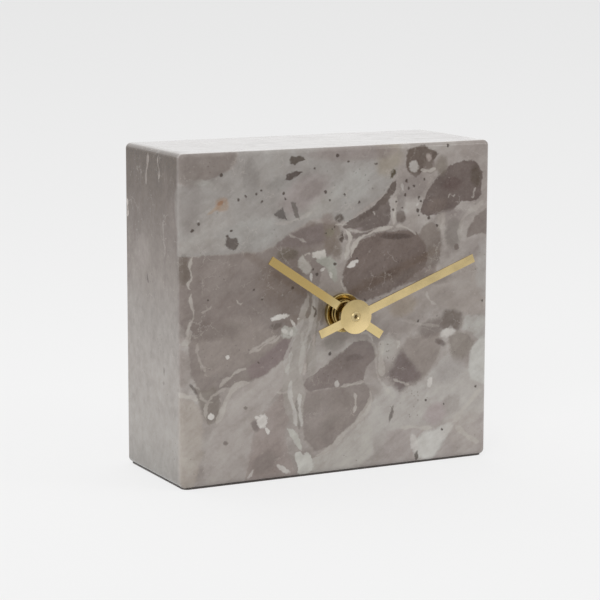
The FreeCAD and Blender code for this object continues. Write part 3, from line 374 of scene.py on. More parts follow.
def joined(table, mask, stray, tint):
    """Paints all marks in one colour. Where they meet, the strongest counts."""
    def paint(g, where, noise, tone):
        uneven = ragged(g, noise, stray)
        masks = (g.math("MULTIPLY", mask(g, where, *shape, uneven), strength)
                 for *shape, strength in table)
        return g.mix(g.extreme("MAXIMUM", masks), tone, tint)
    return paint


def dots(table, tint):
    """Paints round specks in one colour."""
    def paint(g, where, noise, tone):
        gaps = (g.math("SUBTRACT", g.vector("DISTANCE", where, (x, z, 1.0)), radius)
                for x, z, radius in table)
        nearest = g.math("ADD", g.extreme("MINIMUM", gaps), ragged(g, noise, SPECK_RAGGED))
        return g.over(tone, tint, g.span(nearest, SPECK_SOFTNESS, -SPECK_SOFTNESS), SPECK_SHARE)
    return paint


# Large fields of tone, painted first: outline, softness in millimetres, colour, strength share.
FIELDS = {
    "corner_mauve": (
        [(-56, 90.6), (-48, 91), (-42, 90.8), (-38, 93.4), (-34.6, 97), (-34, 103), (-56, 103)],
        1.2, (132, 124, 119), 0.9),
    "pale_upper": (
        [(-60, 69.6), (-26, 69.7), (-21.4, 71.6), (-17.6, 74.1), (-12.5, 77), (-7, 78.8), (2.5, 76.8),
         (9, 81.6), (15, 84.5), (19, 89), (22, 103), (-33, 103), (-35, 95), (-46, 90.5), (-60, 90)],
        0.5, (149, 145, 141), 0.8),
    "brown_left": (
        [(-57, 69.5), (-26, 69.4), (-21.4, 71.4), (-17.6, 73.4), (-12, 76), (-6, 77.4), (-1, 76),
         (-1.5, 70), (-6, 63), (-9, 54), (-11, 48), (-15.6, 44.5), (-16.6, 38), (-20, 36), (-24, 33),
         (-27, 31), (-33, 30.2), (-37, 30), (-45, 28), (-49.5, 33), (-50.6, 48), (-57, 53)],
        0.5, (131, 122, 117), 0.95),
    "brown_deep": (
        [(-24, 66), (-17, 69), (-12, 64), (-10, 56), (-12.5, 51), (-19, 50), (-26, 55), (-27, 61)],
        3.6, (114, 103, 96), 0.7),
    "brown_low": (
        [(-50, 46), (-36, 50), (-24, 47), (-20, 42), (-32, 36), (-45, 33)], 2.4, (142, 133, 127), 0.7),
    "mauve_band": (
        [(-23, 71.2), (-18.6, 73.6), (-14.8, 75.4), (-10.9, 76.2), (-6, 76.8), (-4.4, 74), (-6.2, 71),
         (-10, 70.4), (-14.8, 70.4), (-19.6, 70.8)], 0.9, (119, 109, 106), 0.85),
    "brown_gap": (
        [(-5.8, 77), (-1, 77), (0.4, 74), (0.2, 66.4), (-2, 66), (-5.4, 69.5)], 1.1, (121, 111, 103), 0.8),
    "tan_corner": (
        [(-56, 28), (-49, 27), (-46, 22), (-46, 10), (-50, -3), (-56, -3)], 1.2, (165, 157, 149), 0.8),
    "band_pale": (
        [(-17, 37), (-25, 32.5), (-31, 30.5), (-37, 28), (-41, 21), (-46, 8), (-44, -3), (-33, -3),
         (-31, 5), (-29, 15), (-26, 21), (-21, 27), (-17, 29)], 0.9, (163, 156, 151), 0.9),
    "mauve_step": (
        [(-30, 31), (-25, 32.5), (-20, 36), (-16.8, 37.6), (-15.6, 42), (-19, 43), (-25, 39), (-31, 34.6)],
        0.8, (129, 117, 115), 0.9),
    "brown_foot": (
        [(-19.4, 26.6), (-22, 23.4), (-25.4, 20.4), (-29.2, 14), (-31, 5), (-33, -3), (-14, -3), (-17, 7),
         (-18.6, 14), (-16.5, 22)], 0.6, (151, 141, 136), 0.9),
    "foot_deep": (
        [(-30, 8), (-24, 14), (-20, 13), (-18, 6), (-20, 0), (-30, -2)], 2.2, (142, 131, 126), 0.7),
    "right_mid": (
        [(14, 54), (30, 58), (40, 63), (54, 66), (56, 46), (44, 45), (34, 49), (24, 47), (14, 45)],
        2.5, (154, 146, 140), 0.7),
    "right_low": (
        [(9, 13), (12, 22), (17, 25.4), (21, 23), (26, 25.2), (31, 27.4), (35, 30.4), (38, 34.6),
         (40.6, 30), (46, 28), (56, 25), (56, 9), (40, 12), (28, 9), (14, 7)], 1.4, (171, 166, 161), 0.9),
    "right_foot": ([(16, 11), (30, 11), (38, 12), (56, 14), (56, -3), (14, -3)], 1.6, (163, 155, 151), 0.8),
    "foot_pale": (
        [(-9.6, 5), (-6, 5.6), (-2, 7), (2, 10), (6, 13.4), (9, 16), (12, 12), (12, 4), (7, 1), (6, -3),
         (-10, -3)], 0.8, (172, 167, 161), 0.9),
    "olive_corner": ([(12, 102), (13, 91), (17, 90), (21, 94), (21, 102)], 1.6, (148, 138, 124), 0.6),
}

# Clasts with their own outline: outline, softness, colour, strength share.
CLASTS = {
    "centre_skirt": (
        [(20, 57.4), (26, 59.4), (30.6, 62.4), (33.6, 62), (34, 60), (28, 57.4), (22, 56)],
        0.7, (130, 118, 113), 0.75),
    "centre_lobe": (
        [(28, 62), (27.4, 70), (28.6, 74), (32, 75.4), (35, 73.4), (35.4, 67), (34.8, 62.6), (32, 60.4)],
        0.6, (124, 115, 109), 0.88),
    "centre": (
        [(6.6, 71.2), (14, 72.9), (22, 73.3), (27, 72.4), (29.6, 68), (30.6, 62), (26, 59), (21, 55.8),
         (15, 53.6), (9, 52.4), (4, 53.6), (0.8, 58), (1.2, 63), (4, 67.6)], 0.5, (112, 101, 96), 0.95),
    "wedge": (
        [(0.2, 75.6), (3, 77.2), (7.5, 79.2), (10.4, 80.6), (13, 82.4), (14.8, 83.7), (16.8, 82.4),
         (17.4, 79.5), (17.2, 76.5), (15.5, 74.5), (10, 73.8), (5, 74), (2, 74.8)],
        0.3, (109, 100, 96), 0.95),
    "wedge_arm": (
        [(12, 81.6), (15, 84.2), (17.6, 87.6), (19.4, 88.8), (19, 86.2), (17.2, 83.2), (15.6, 81)],
        0.35, (104, 95, 90), 0.95),
    "oval": (
        [(27.4, 78.4), (28.6, 81), (30, 84.6), (31.7, 86.8), (33.8, 89.4), (36.4, 90.8), (38.2, 92.2),
         (41.7, 93.2), (45.8, 93.7), (48.6, 92), (50.1, 88.4), (49.6, 85.6), (49.6, 82.3), (46.8, 80.9),
         (42.2, 80.9), (39.9, 78.9), (37.1, 77.3), (34.5, 77.4), (30.8, 77)], 0.3, (107, 97, 93), 0.95),
    "top": (
        [(23, 97.4), (25, 98.2), (28.6, 98.8), (30.4, 97.9), (33.5, 96.9), (33.7, 95.9), (32.5, 94.6),
         (31.9, 92.2), (29.4, 91.6), (27.8, 90.4), (26.3, 89), (23.7, 90.5), (22.7, 92.6), (22.7, 94.9)],
        0.35, (99, 89, 83), 0.93),
    "small_right": (
        [(19.6, 79.2), (22.2, 79), (22.8, 76.6), (21.6, 75.4), (19.6, 75.6)], 0.5, (108, 99, 94), 0.85),
    "right_edge": (
        [(44.2, 69.6), (45.2, 73), (47.8, 76.2), (51, 78), (56, 79), (56, 69), (50, 70.6)],
        0.5, (124, 115, 110), 0.92),
    "lower": (
        [(-11.9, 29.4), (-8.6, 31), (-4.7, 33.4), (-0.9, 36), (2, 37.7), (4.9, 39.6), (9.9, 40),
         (12, 37.7), (12.5, 34.8), (9.2, 31.4), (8.4, 29.4), (8.7, 27.2), (0.4, 26.3), (-9.6, 25.9),
         (-12.2, 27.4)], 0.4, (126, 116, 112), 0.95),
    "lowest": (
        [(-11.6, 25.6), (0.4, 26), (8.9, 27), (11.1, 23.6), (10.5, 19.6), (7, 16), (1.8, 12.6),
         (-3.2, 8.6), (-8.2, 6.9), (-12.2, 11.8), (-12.5, 19.3)], 0.45, (136, 127, 122), 0.92),
    "horseshoe": (
        [(35.4, 44.5), (37, 47), (40, 47.2), (43, 46), (43.4, 42.6), (42, 40.4), (40.4, 41), (39, 42),
         (36.6, 40.6), (35.2, 42)], 1.1, (108, 99, 93), 0.9),
    "brown_right": (
        [(19.6, 28), (22, 31), (21, 36), (24, 39.6), (31, 40.4), (36, 40.4), (36, 36), (33.6, 31),
         (30.6, 27.6), (26, 24.8), (22, 24.8)], 0.8, (138, 129, 123), 0.85),
    "mauve_right": (
        [(17, 28.8), (19, 31.8), (20.6, 35), (22.6, 35.2), (24.6, 32.4), (27.2, 30), (28.8, 27.8),
         (26.4, 25.6), (23.6, 24.8), (21, 22.4), (19.4, 24.4), (18.2, 26.8)], 1.4, (109, 98, 96), 0.85),
    "slab_right": (
        [(38.6, 39), (42, 40.2), (45.6, 39), (48, 36.4), (45.8, 33.6), (43.2, 30.6), (40.2, 31), (38.8, 35)],
        0.6, (133, 125, 118), 0.85),
    "arrow": (
        [(-48.4, 30.6), (-45, 29.4), (-41.6, 30.6), (-40, 26), (-40.6, 20.6), (-44, 18.6), (-46, 23)],
        0.6, (126, 118, 111), 0.85),
}

# White crystal masses with their own outline: outline, softness, colour, strength share.
MASSES = {
    "left": (
        [(-14.2, 66.6), (-12.9, 67.8), (-11.8, 66.6), (-10.6, 65.2), (-9.6, 63.6), (-10.4, 62.4),
         (-11.6, 61.6), (-12.8, 62.8), (-14.4, 64.4)], 0.4, (174, 170, 163), 0.75),
    "upper": (
        [(-9.5, 68.4), (-7.5, 68.9), (-5.2, 68.7), (-4.4, 67.4), (-5.4, 66.4), (-7.4, 66.3), (-9.2, 67)],
        0.3, (184, 179, 173), 0.9),
    "middle": (
        [(-8.6, 65.8), (-6, 66.9), (-3.2, 66.6), (-1.4, 65.2), (-0.9, 62.6), (-0.9, 59.4), (-2, 58.4),
         (-3.4, 60), (-4.2, 62.4), (-5.8, 64)], 0.45, (160, 161, 152), 0.72),
    "knot": (
        [(-20, 46), (-18.6, 46.6), (-17, 45.8), (-15.4, 46.4), (-14.2, 44.8), (-15.2, 43.2), (-17.4, 42.8),
         (-19.6, 43.6)], 0.4, (172, 170, 163), 0.85),
    "foot_arm": (
        [(-18, 15.2), (-15.6, 14.6), (-14, 12.4), (-12.8, 9), (-13.4, 7.6), (-15, 10), (-16.4, 12.4)],
        0.35, (180, 178, 171), 0.9),
    "foot": (
        [(-15, 7), (-13.8, 7.8), (-12.6, 6.6), (-11.6, 7.4), (-9.8, 5.6), (-9, 3.2), (-9.6, 1),
         (-12, -0.4), (-14.2, 1.2), (-14, 3.4), (-15.2, 5)], 0.3, (190, 188, 182), 0.95),
    "right_white": (
        [(46.4, 33.6), (48.2, 36.6), (50, 38), (56, 38), (56, 22), (50, 22.8), (46.8, 24.8), (45.6, 29)],
        0.6, (183, 181, 176), 0.9),
    "beam": (
        [(27, 2.4), (26.6, 6.4), (29.4, 8.8), (33, 9.6), (36.6, 10.8), (40, 11.6), (40.4, 10.2),
         (37.8, 6.4), (35.4, 3), (32.6, 0), (29.4, 0.6)], 0.9, (196, 194, 189), 0.85),
    "right_pale": (
        [(43.4, 40.6), (44.4, 45), (50, 44.6), (56, 43), (56, 37), (49, 37.4), (46.6, 39.6)],
        0.6, (168, 165, 160), 0.85),
}

# Soft patches: centre, half sizes, angle in degrees, colour, strength share.
PATCHES = [
    ((26, 58.4), (12, 2.0), -6, (105, 95, 89), 0.5),
    ((14, 66), (9, 4), 12, (119, 108, 103), 0.5),
    ((-12, 86), (8, 4.4), 24, (150, 139, 137), 0.5),
    ((-34, 66), (12, 2.4), 10, (138, 129, 124), 0.4),
    ((-46.6, 91), (3.6, 0.8), -8, (162, 160, 154), 0.6),
    ((-21.8, 46.8), (1.7, 0.9), 10, (98, 89, 84), 0.65),
    ((-28.6, 17), (1.1, 1.8), 30, (112, 102, 98), 0.7),
    ((-38.4, 12.6), (0.7, 0.6), 0, (122, 113, 108), 0.9),
    ((-31.8, 22.8), (0.5, 0.4), 0, (124, 116, 110), 0.9),
    ((10.2, 79.4), (4.2, 0.8), 28, (94, 85, 80), 0.6),
    ((35.4, 37.2), (1.9, 0.9), -30, (102, 92, 88), 0.75),
    ((-48.6, 30), (1.8, 0.5), -50, (92, 84, 80), 0.7),
    ((-3, 84), (9, 3), 28, (162, 158, 152), 0.5),
    ((-44, 80), (8, 5), 0, (165, 160, 155), 0.5),
    ((25, 86.2), (4.4, 3.6), 0, (131, 123, 119), 0.65),
    ((20.6, 82), (1.8, 3), 0, (134, 127, 123), 0.7),
    ((39, 76.2), (6.4, 2.2), 6, (138, 130, 126), 0.85),
    ((39.6, 71), (2.6, 4.4), 0, (124, 117, 112), 0.8),
    ((48, 66.4), (4.4, 3), 0, (140, 132, 128), 0.7),
    ((31.2, 92.4), (2.2, 2.0), 0, (122, 113, 107), 0.75),
    ((35.2, 92.4), (1.8, 2.8), 0, (122, 114, 106), 0.75),
    ((7, 73), (6, 1.1), 8, (114, 105, 101), 0.9),
    ((5, 97.6), (13, 2.4), 0, (139, 130, 126), 0.8),
    ((-30, 91), (2.4, 6), 4, (129, 124, 120), 0.45),
    ((-49.6, 84), (4.4, 7), 0, (139, 133, 129), 0.7),
    ((-10, 87), (3.6, 2.4), 30, (130, 121, 117), 0.6),
    ((-20, 89.6), (4, 2), 10, (130, 126, 122), 0.5),
    ((4, 87), (7, 4), 30, (158, 155, 151), 0.75),
    ((-30, 75), (10, 4), 8, (157, 154, 150), 0.75),
    ((-46, 72.6), (9, 2.2), 0, (159, 154, 149), 0.75),
    ((-51.4, 65.4), (2.0, 4), 0, (106, 97, 90), 0.8),
    ((-43.6, 47), (9, 2.6), 0, (118, 109, 104), 0.75),
    ((-9.6, 27), (1.6, 1.2), 0, (124, 115, 111), 0.7),
    ((32.6, 42), (4.6, 2.4), 10, (118, 109, 104), 0.8),
    ((-7, 18), (4, 5), 0, (146, 138, 133), 0.5),
    ((-48.6, 94), (3, 4), 0, (128, 120, 115), 0.5),
    ((-40, 52), (9, 3), 30, (126, 116, 111), 0.5),
    ((-9.4, 35), (1.4, 5), -6, (154, 148, 142), 0.7),
    ((17, 37), (2.6, 3.6), 8, (170, 165, 159), 0.75),
    ((1, 34), (5, 3), 20, (114, 104, 99), 0.45),
    ((22, 50), (4.4, 3), 10, (145, 133, 119), 0.6),
    ((1, 18), (6, 4), 30, (136, 127, 121), 0.4),
    ((35, 75), (1.5, 2.6), 0, (163, 156, 149), 0.6),
    ((-3.5, 74), (1.6, 1.2), 20, (128, 123, 108), 0.6),
    ((-17.8, 68.4), (3.2, 1.7), 0, (98, 90, 79), 0.6),
    ((-4.2, 78.2), (2.0, 1.6), 0, (128, 116, 110), 0.6),
    ((-10, 76.8), (1.6, 0.8), 10, (124, 114, 108), 0.5),
    ((6, 74.2), (1.6, 0.7), 20, (142, 132, 129), 0.6),
    ((-2, 40.4), (3.6, 2.4), 12, (132, 126, 120), 0.6),
    ((38.6, 86.4), (3.4, 2.0), 0, (96, 83, 80), 0.6),
    ((33.4, 80.2), (3.4, 2.0), 10, (120, 109, 103), 0.6),
    ((47.4, 88.6), (1.6, 3.2), 10, (86, 78, 68), 0.5),
    ((51, 60), (2.6, 8), 0, (164, 160, 156), 0.7),
    ((30.8, 95.2), (0.9, 1.1), 0, (156, 146, 140), 0.85),
    ((34.3, 15), (4, 3), 20, (161, 149, 148), 0.7),
    ((-39.3, 84.2), (2.0, 1.9), 0, (155, 130, 109), 0.6),
    ((-38.9, 84.0), (1.0, 1.0), 20, (149, 139, 129), 0.55),
    ((-39.8, 84.8), (0.9, 0.6), 20, (143, 110, 88), 0.75),
    ((-41.6, 83), (2.4, 0.5), 30, (160, 138, 116), 0.5),
    ((-0.2, 78.1), (1.4, 1.1), 0, (92, 84, 79), 0.85),
    ((0.7, 72.5), (0.6, 1.8), 0, (78, 68, 63), 0.8),
    ((43.6, 8), (7, 5), -40, (170, 163, 157), 0.55),
    ((19.3, 71.5), (4.6, 0.8), -4, (84, 75, 71), 0.7),
    ((18.2, 16.4), (0.55, 2.2), -14, (104, 97, 92), 0.8),
    ((27.4, 1.9), (0.6, 1.4), 0, (92, 86, 80), 0.85),
    ((40.9, 67), (0.8, 0.8), 0, (112, 102, 97), 0.8),
    ((-25.4, 5.5), (4, 3), 30, (120, 111, 106), 0.5),
    ((5, 35), (3, 1), 0, (104, 94, 91), 0.6),
    ((38.6, 28), (5.4, 3.6), 10, (151, 145, 141), 0.8),
    ((39.6, 17.4), (3, 2.4), 30, (150, 143, 138), 0.7),
    ((46.4, 12.4), (4, 1.8), 20, (172, 166, 160), 0.6),
]

# Small dark chips over the pale fields: outline, softness, colour, strength share.
CHIPS = {
    "left": (
        [(-38.3, 72.4), (-37.8, 74.4), (-34.4, 73.7), (-33.7, 72.2), (-35, 70.6), (-36.8, 71)],
        0.35, (102, 95, 91), 0.95),
    "middle": (
        [(-22.7, 80.9), (-19.6, 82.3), (-18.7, 80.6), (-17.9, 78.5), (-20.6, 79.4)],
        0.3, (104, 99, 96), 0.92),
    "sliver": (
        [(-16.7, 83.9), (-15.4, 84), (-14.4, 81), (-13.5, 78.5), (-14.9, 79), (-16.2, 81.4)],
        0.3, (112, 106, 102), 0.9),
    "upper": (
        [(-16.6, 97.6), (-13.8, 97.8), (-11.6, 96.3), (-14, 95.8), (-15.6, 94.9), (-16.8, 95.4)],
        0.3, (94, 87, 81), 0.95),
    "lower": (
        [(-18.6, 90.5), (-18, 92.4), (-15, 93), (-12.8, 92.2), (-15, 91.4), (-17, 90.2)],
        0.35, (88, 80, 76), 0.92),
    "olive": (
        [(17.3, 89.4), (17.5, 91.6), (18.6, 92.2), (19.1, 90.4), (18.2, 88.9)], 0.3, (84, 76, 64), 0.9),
}

# White crystals: centre, half sizes, angle, strength share.
WHITES = [
    ((-6.2, 62.8), (0.9, 0.5), 10, 0.7), ((-9.8, 61), (0.4, 1.3), 8, 0.6),
    ((4.4, 63.9), (1.9, 0.8), 25, 0.95), ((-20.4, 49.5), (2.6, 0.9), 4, 0.95),
    ((-15.9, 47.2), (0.5, 1.4), 32, 0.75), ((-14, 48.6), (0.5, 0.3), 0, 0.6),
    ((-18.6, 44.9), (1.2, 0.6), -20, 0.6), ((-16.4, 44.3), (0.5, 1.1), 0, 0.6),
    ((-3.2, 60.8), (0.5, 0.9), 0, 0.5), ((-43.1, 21.3), (1.0, 1.0), 0, 0.98),
    ((-26.3, 18.2), (1.7, 1.9), 20, 0.98), ((-28, 19.6), (1.1, 0.5), -10, 0.9),
    ((-24.4, 15.2), (0.5, 1.2), 34, 0.85), ((25.4, 92.4), (1.5, 1.7), 0, 0.5),
    ((37.9, 40), (2.5, 1.3), 8, 0.58), ((31.8, 25), (1.0, 1.4), 0, 0.85),
    ((26.4, 6), (1.2, 3.0), 10, 0.55), ((-37.7, 38.6), (0.6, 0.6), 0, 0.85),
    ((-19, 2.6), (2.4, 0.8), -30, 0.7), ((-30.2, 2.4), (0.5, 1.6), -34, 0.5),
    ((-0.9, 27.2), (0.9, 0.9), 0, 0.6), ((26.8, 80.8), (0.6, 0.3), 40, 0.4),
    ((21.4, 86.4), (0.5, 1.2), 20, 0.35), ((-47, 79.8), (0.3, 0.2), 0, 0.3),
]

# Pale veins: points, width, strength share.
VEINS = [
    ([(19, 84), (18.9, 79.3), (18.4, 74.8)], 0.6, 0.5),
    ([(18.6, 74.8), (14, 73.9), (9.9, 72.9), (7.3, 72), (5.6, 70.5), (4.6, 69.1), (4, 67.4), (3.4, 65.3)],
     0.6, 0.85),
    ([(1.75, 74.8), (3.4, 72.9), (3.6, 71.5), (2.7, 69.3), (2.2, 67.1), (1.6, 65.3)], 0.8, 0.8),
    ([(0.1, 59.4), (1, 57.4), (2.2, 55.4)], 0.4, 0.6),
    ([(-12.4, 67.5), (-11.2, 68.1), (-10, 68.3)], 0.35, 0.7),
    ([(-1.8, 76), (-0.4, 76.4), (1.4, 76.2), (2.6, 76.6)], 0.35, 0.5),
    ([(27.6, 91.3), (30.2, 91.2), (33.2, 91.8)], 0.8, 0.65),
    ([(37.4, 82.2), (38.4, 83.4), (39.4, 82.7), (40.2, 83.4)], 0.3, 0.6),
    ([(46.2, 81.6), (46.8, 83.2), (47.3, 85)], 0.4, 0.5),
    ([(11, 79.3), (11.6, 79.1), (12, 78.6)], 0.3, 0.7),
    ([(6.8, 41.8), (8.6, 42.2), (10.1, 41.7), (11.6, 39.6)], 0.5, 0.6),
    ([(18.6, 74.8), (22.5, 74), (26.8, 71.2)], 0.3, 0.6),
    ([(1.8, 75.4), (5.4, 74), (11, 73.8), (16, 74.4)], 0.25, 0.5),
    ([(50.6, 81), (47.3, 78.7), (45.4, 77.7), (43.2, 75.6), (42.2, 72.6), (41.9, 68.4)], 1.0, 0.3),
    ([(36.5, 78), (35.6, 75), (35.7, 70.8)], 0.8, 0.2),
    ([(30.2, 54), (31.4, 50.9), (34.2, 49.2)], 0.5, 0.5),
    ([(40, 11), (44.5, 15.6), (50.6, 21.4)], 1.0, 0.55),
    ([(21, 11.2), (26, 11), (33.4, 10)], 0.6, 0.7),
    ([(41, 10.4), (44.4, 7.6), (50, 3.6)], 1.1, 0.7),
    ([(10.4, 40.5), (12.3, 37), (12.7, 33), (13.4, 28.4), (16, 25), (18, 22.4), (20, 20.4)], 0.4, 0.38),
    ([(14.6, 39.6), (14.4, 33.6), (14.7, 28.2)], 1.6, 0.55),
    ([(19.6, 39.2), (20.6, 38), (20, 36.2)], 0.5, 0.7),
    ([(8.6, 26.8), (10.4, 24.6), (10.2, 19.4), (6.8, 15.4), (1.8, 11.6), (-3.2, 7.4), (-9, 5.6)], 1.1, 0.6),
    ([(5.4, 24), (5.6, 21), (5.2, 17.6)], 0.5, 0.75),
    ([(0.2, 26.2), (4, 26.7), (8.8, 27.4)], 0.5, 0.5),
    ([(-40.4, 29.6), (-38.6, 31.6), (-36.4, 32.6), (-34.6, 34), (-31, 34.4)], 0.5, 0.55),
    ([(-31, 39.6), (-27.6, 40.2), (-24.6, 42), (-22, 42.6), (-19.6, 44.2)], 0.35, 0.45),
    ([(-30, 30.6), (-33.6, 30.2), (-36, 29), (-37.8, 26), (-40, 21.4), (-41.8, 18.6)], 1.2, 0.6),
    ([(-44.6, 20), (-44.8, 23.6), (-43.6, 26.4), (-40.4, 28.4), (-37.6, 29.6)], 0.6, 0.5),
    ([(-21.4, 26.6), (-19.6, 26.2), (-17.6, 26.8)], 0.5, 0.6),
    ([(-17.7, 74.3), (-14.6, 72.9), (-11.2, 71.4)], 0.25, 0.45),
    ([(-48.6, 70), (-49.6, 66.4), (-49.2, 63.4), (-50.4, 61), (-48.9, 59)], 0.4, 0.65),
    ([(-48.9, 59), (-49.4, 56), (-48.8, 52.6), (-49.9, 49), (-50.6, 45)], 0.4, 0.6),
    ([(-22.6, 77.8), (-15, 78.4), (-9, 80.6)], 0.5, 0.3),
    ([(-42.6, 54.6), (-44.6, 53.2), (-46.6, 52.6)], 0.3, 0.4),
    ([(-34.8, 55.6), (-33.2, 54.4), (-32.4, 55)], 0.3, 0.5),
    ([(-51.6, 43), (-50.6, 44.6), (-50, 48)], 1.6, 0.4),
    ([(-54, 28.2), (-50, 28), (-47, 26.6)], 0.9, 0.7),
    ([(-46.6, 29), (-45.4, 26.4), (-42.4, 25.4)], 0.6, 0.4),
    ([(-44.6, 34.6), (-46.8, 38.6), (-47.6, 44)], 0.5, 0.35),
    ([(18.6, 27.4), (21.4, 25.8), (24.6, 24.8)], 0.4, 0.6),
    ([(-21, 44.2), (-25.6, 42.2), (-31, 39)], 0.5, 0.5),
    ([(21, 45.4), (28, 43.6), (36, 42)], 0.4, 0.25),
]

# The bundle of fine upright lines right of the brown field: points, width, colour, strength share.
FALL = [
    ([(-7.4, 58), (-9.4, 50), (-12.6, 42), (-15.4, 34), (-15.4, 24), (-14, 15)],
     5.4, (158, 152, 146), 0.85),
    ([(-9.8, 58), (-10.2, 52), (-11.2, 48)], 0.8, (104, 94, 86), 0.55),
    ([(-6.4, 57), (-6.8, 50), (-8.6, 42), (-11.2, 33)], 0.7, (126, 117, 109), 0.6),
    ([(-4.6, 57), (-5.4, 51), (-6.2, 46)], 0.6, (134, 125, 116), 0.5),
    ([(-12, 49), (-16, 42), (-18, 37), (-17.2, 31)], 1.0, (172, 167, 162), 0.6),
    ([(-8.4, 55), (-9.8, 47), (-12.6, 38), (-13.4, 30)], 0.7, (176, 171, 165), 0.6),
    ([(-16.4, 30), (-16.8, 25), (-15.2, 20), (-14.6, 15)], 1.0, (184, 180, 175), 0.65),
    ([(-13.6, 26), (-13.6, 20), (-12.6, 15)], 0.8, (184, 180, 175), 0.75),
    ([(-14.8, 24), (-14.2, 19), (-13.6, 14)], 0.35, (116, 108, 102), 0.55),
    ([(-9.8, 44), (-11, 38), (-11.6, 32)], 0.35, (134, 126, 119), 0.55),
    ([(-8.6, 43.8), (-8.8, 40), (-8.9, 37)], 0.5, (174, 164, 157), 0.65),
    ([(-11.6, 35), (-12, 30.8)], 0.45, (176, 167, 160), 0.6),
    ([(-11, 35), (-11.2, 31.6)], 0.3, (124, 113, 106), 0.5),
    ([(-16.4, 38.6), (-17.2, 34.8), (-18.3, 32.2)], 0.8, (180, 176, 170), 0.6),
    ([(-12.9, 44), (-12.5, 40.2)], 0.8, (176, 171, 164), 0.5),
    ([(-9.4, 52.3), (-8.4, 50.6), (-8.9, 48.4)], 0.5, (84, 74, 66), 0.7),
    ([(-5.6, 51.2), (-5.8, 48), (-6.2, 45.8)], 0.7, (120, 112, 110), 0.6),
]

# Dark specks on the pale fields: centre and radius.
SPECKS = [
    (-39.6, 93, 0.5), (-48.9, 77.2, 0.45), (-46.9, 79, 0.4), (-36.3, 76.4, 0.45), (-37.7, 74.6, 0.4),
    (-34, 85.4, 0.45), (-31.4, 86.4, 0.35), (-26.6, 87.9, 0.4), (-28, 87, 0.35), (-26.2, 84.4, 0.3),
    (-18.6, 85.1, 0.4), (-18.9, 86.7, 0.35), (-8.7, 93.6, 0.35), (-0.9, 97, 0.5), (2.7, 95, 0.4),
    (-5, 86.1, 0.55), (1.3, 85, 0.4), (6.4, 82.6, 0.4), (-3.7, 83.6, 0.35), (12.1, 93.9, 0.3),
    (22.8, 88.2, 0.45), (23.9, 86, 0.4), (25.5, 86.7, 0.45), (29.1, 88.3, 0.4), (22.4, 84.1, 0.45),
    (19.1, 82, 0.35), (18.3, 79.5, 0.4), (27.3, 83.1, 0.45), (28.1, 82, 0.35), (26.8, 79.2, 0.55),
    (27.2, 77.7, 0.3), (30.9, 76.6, 0.5), (37.1, 98.3, 0.5), (33.7, 73.9, 0.4), (21.4, 80.2, 0.3),
    (-1.7, 64.4, 0.5), (5.7, 65.5, 0.35), (-2.8, 75, 0.3), (-5, 73.8, 0.3), (-1.9, 75.4, 0.35),
    (-9.2, 63.4, 0.35), (-27.6, 36.4, 0.3), (-44, 56.2, 0.3), (-29, 58.2, 0.35), (-26.2, 55, 0.3),
    (8.6, 52.8, 0.35), (27.4, 44.6, 0.4), (50.4, 49.4, 0.4), (48.3, 22.2, 0.4), (37, 17.4, 0.3),
    (36.4, 9.6, 0.3), (30.4, 19.4, 0.4), (-3.4, 36.9, 0.45), (-8.1, 61.7, 0.5), (-15.9, 58, 0.4),
]

# Veins and soft patches of the left side, by (y, z).
SIDE_VEINS = [
    ([(2.4, 98.4), (3.2, 95), (4.2, 92), (4.4, 88.6)], 0.8, (158, 149, 143), 0.6),
    ([(-5.6, 98.6), (-4.4, 96.4), (-5.6, 93.6), (-5.2, 91)], 0.5, (164, 155, 149), 0.6),
    ([(13, 99), (12.6, 86), (13.4, 70)], 1.2, (106, 95, 90), 0.35),
    ([(8.4, 98), (8.8, 90), (8, 78)], 0.9, (108, 97, 92), 0.3),
    ([(-10, 97), (-10.6, 84), (-9.4, 66)], 1.2, (112, 101, 96), 0.3),
    ([(-16.6, 90), (-15.8, 84), (-16.8, 79)], 0.5, (96, 88, 84), 0.5),
    ([(-9, 80), (-8, 76), (-9.4, 71), (-8.6, 68)], 0.4, (160, 153, 148), 0.4),
    ([(19.2, 83.6), (18.6, 80.6), (19, 77.4)], 0.6, (196, 188, 182), 0.7),
]
SIDE_PATCHES = [
    ((3.6, 60.4), (0.5, 1.3), -16, (88, 80, 76), 0.8),
    ((-8, 34), (0.4, 1.1), 0, (112, 104, 100), 0.7),
    ((-18.4, 84), (1.6, 5), 0, (150, 147, 142), 0.5),
    ((8, 68), (5, 5), 0, (150, 142, 137), 0.4),
    ((-7.6, 30.3), (0.6, 0.5), 0, (118, 110, 106), 0.6),
    ((-16, 80), (3, 8), 6, (122, 112, 107), 0.4),
]

# Tones of the stone's small marks.
WHITE_TONE = stone(200, 196, 191)
SPECK_TONE = stone(84, 76, 72)
VEIN_TONE = stone(178, 172, 165)

# Bends at two scales, in millimetres, keep every painted edge from running true.
COARSE_BEND_SIZE = 5.5
COARSE_BEND = 1.3
FINE_BEND_SIZE = 1.3
FINE_BEND = 1.1
MIDDLE_LEVEL = 0.5

# General breccia through the whole block: sizes and bends in millimetres, tones from dark to pale.
FRAGMENT_SIZE = 19.0
CRUMB_SIZE = 7.0
DRIFT_SIZE = 30.0
FRAGMENT_COARSE_BEND = 5.5
FRAGMENT_FINE_BEND = 1.6
FRAGMENT_TONE_SHARE = 0.55
CRUMB_TONE_SHARE = 0.3
DRIFT_TONE_SHARE = 0.5
BODY_TONES = [
    (0.2, stone(108, 98, 93)), (0.36, stone(124, 114, 109)), (0.46, stone(136, 127, 121)),
    (0.6, stone(150, 142, 137)), (0.78, stone(160, 153, 148)), (0.98, stone(168, 162, 157)),
]

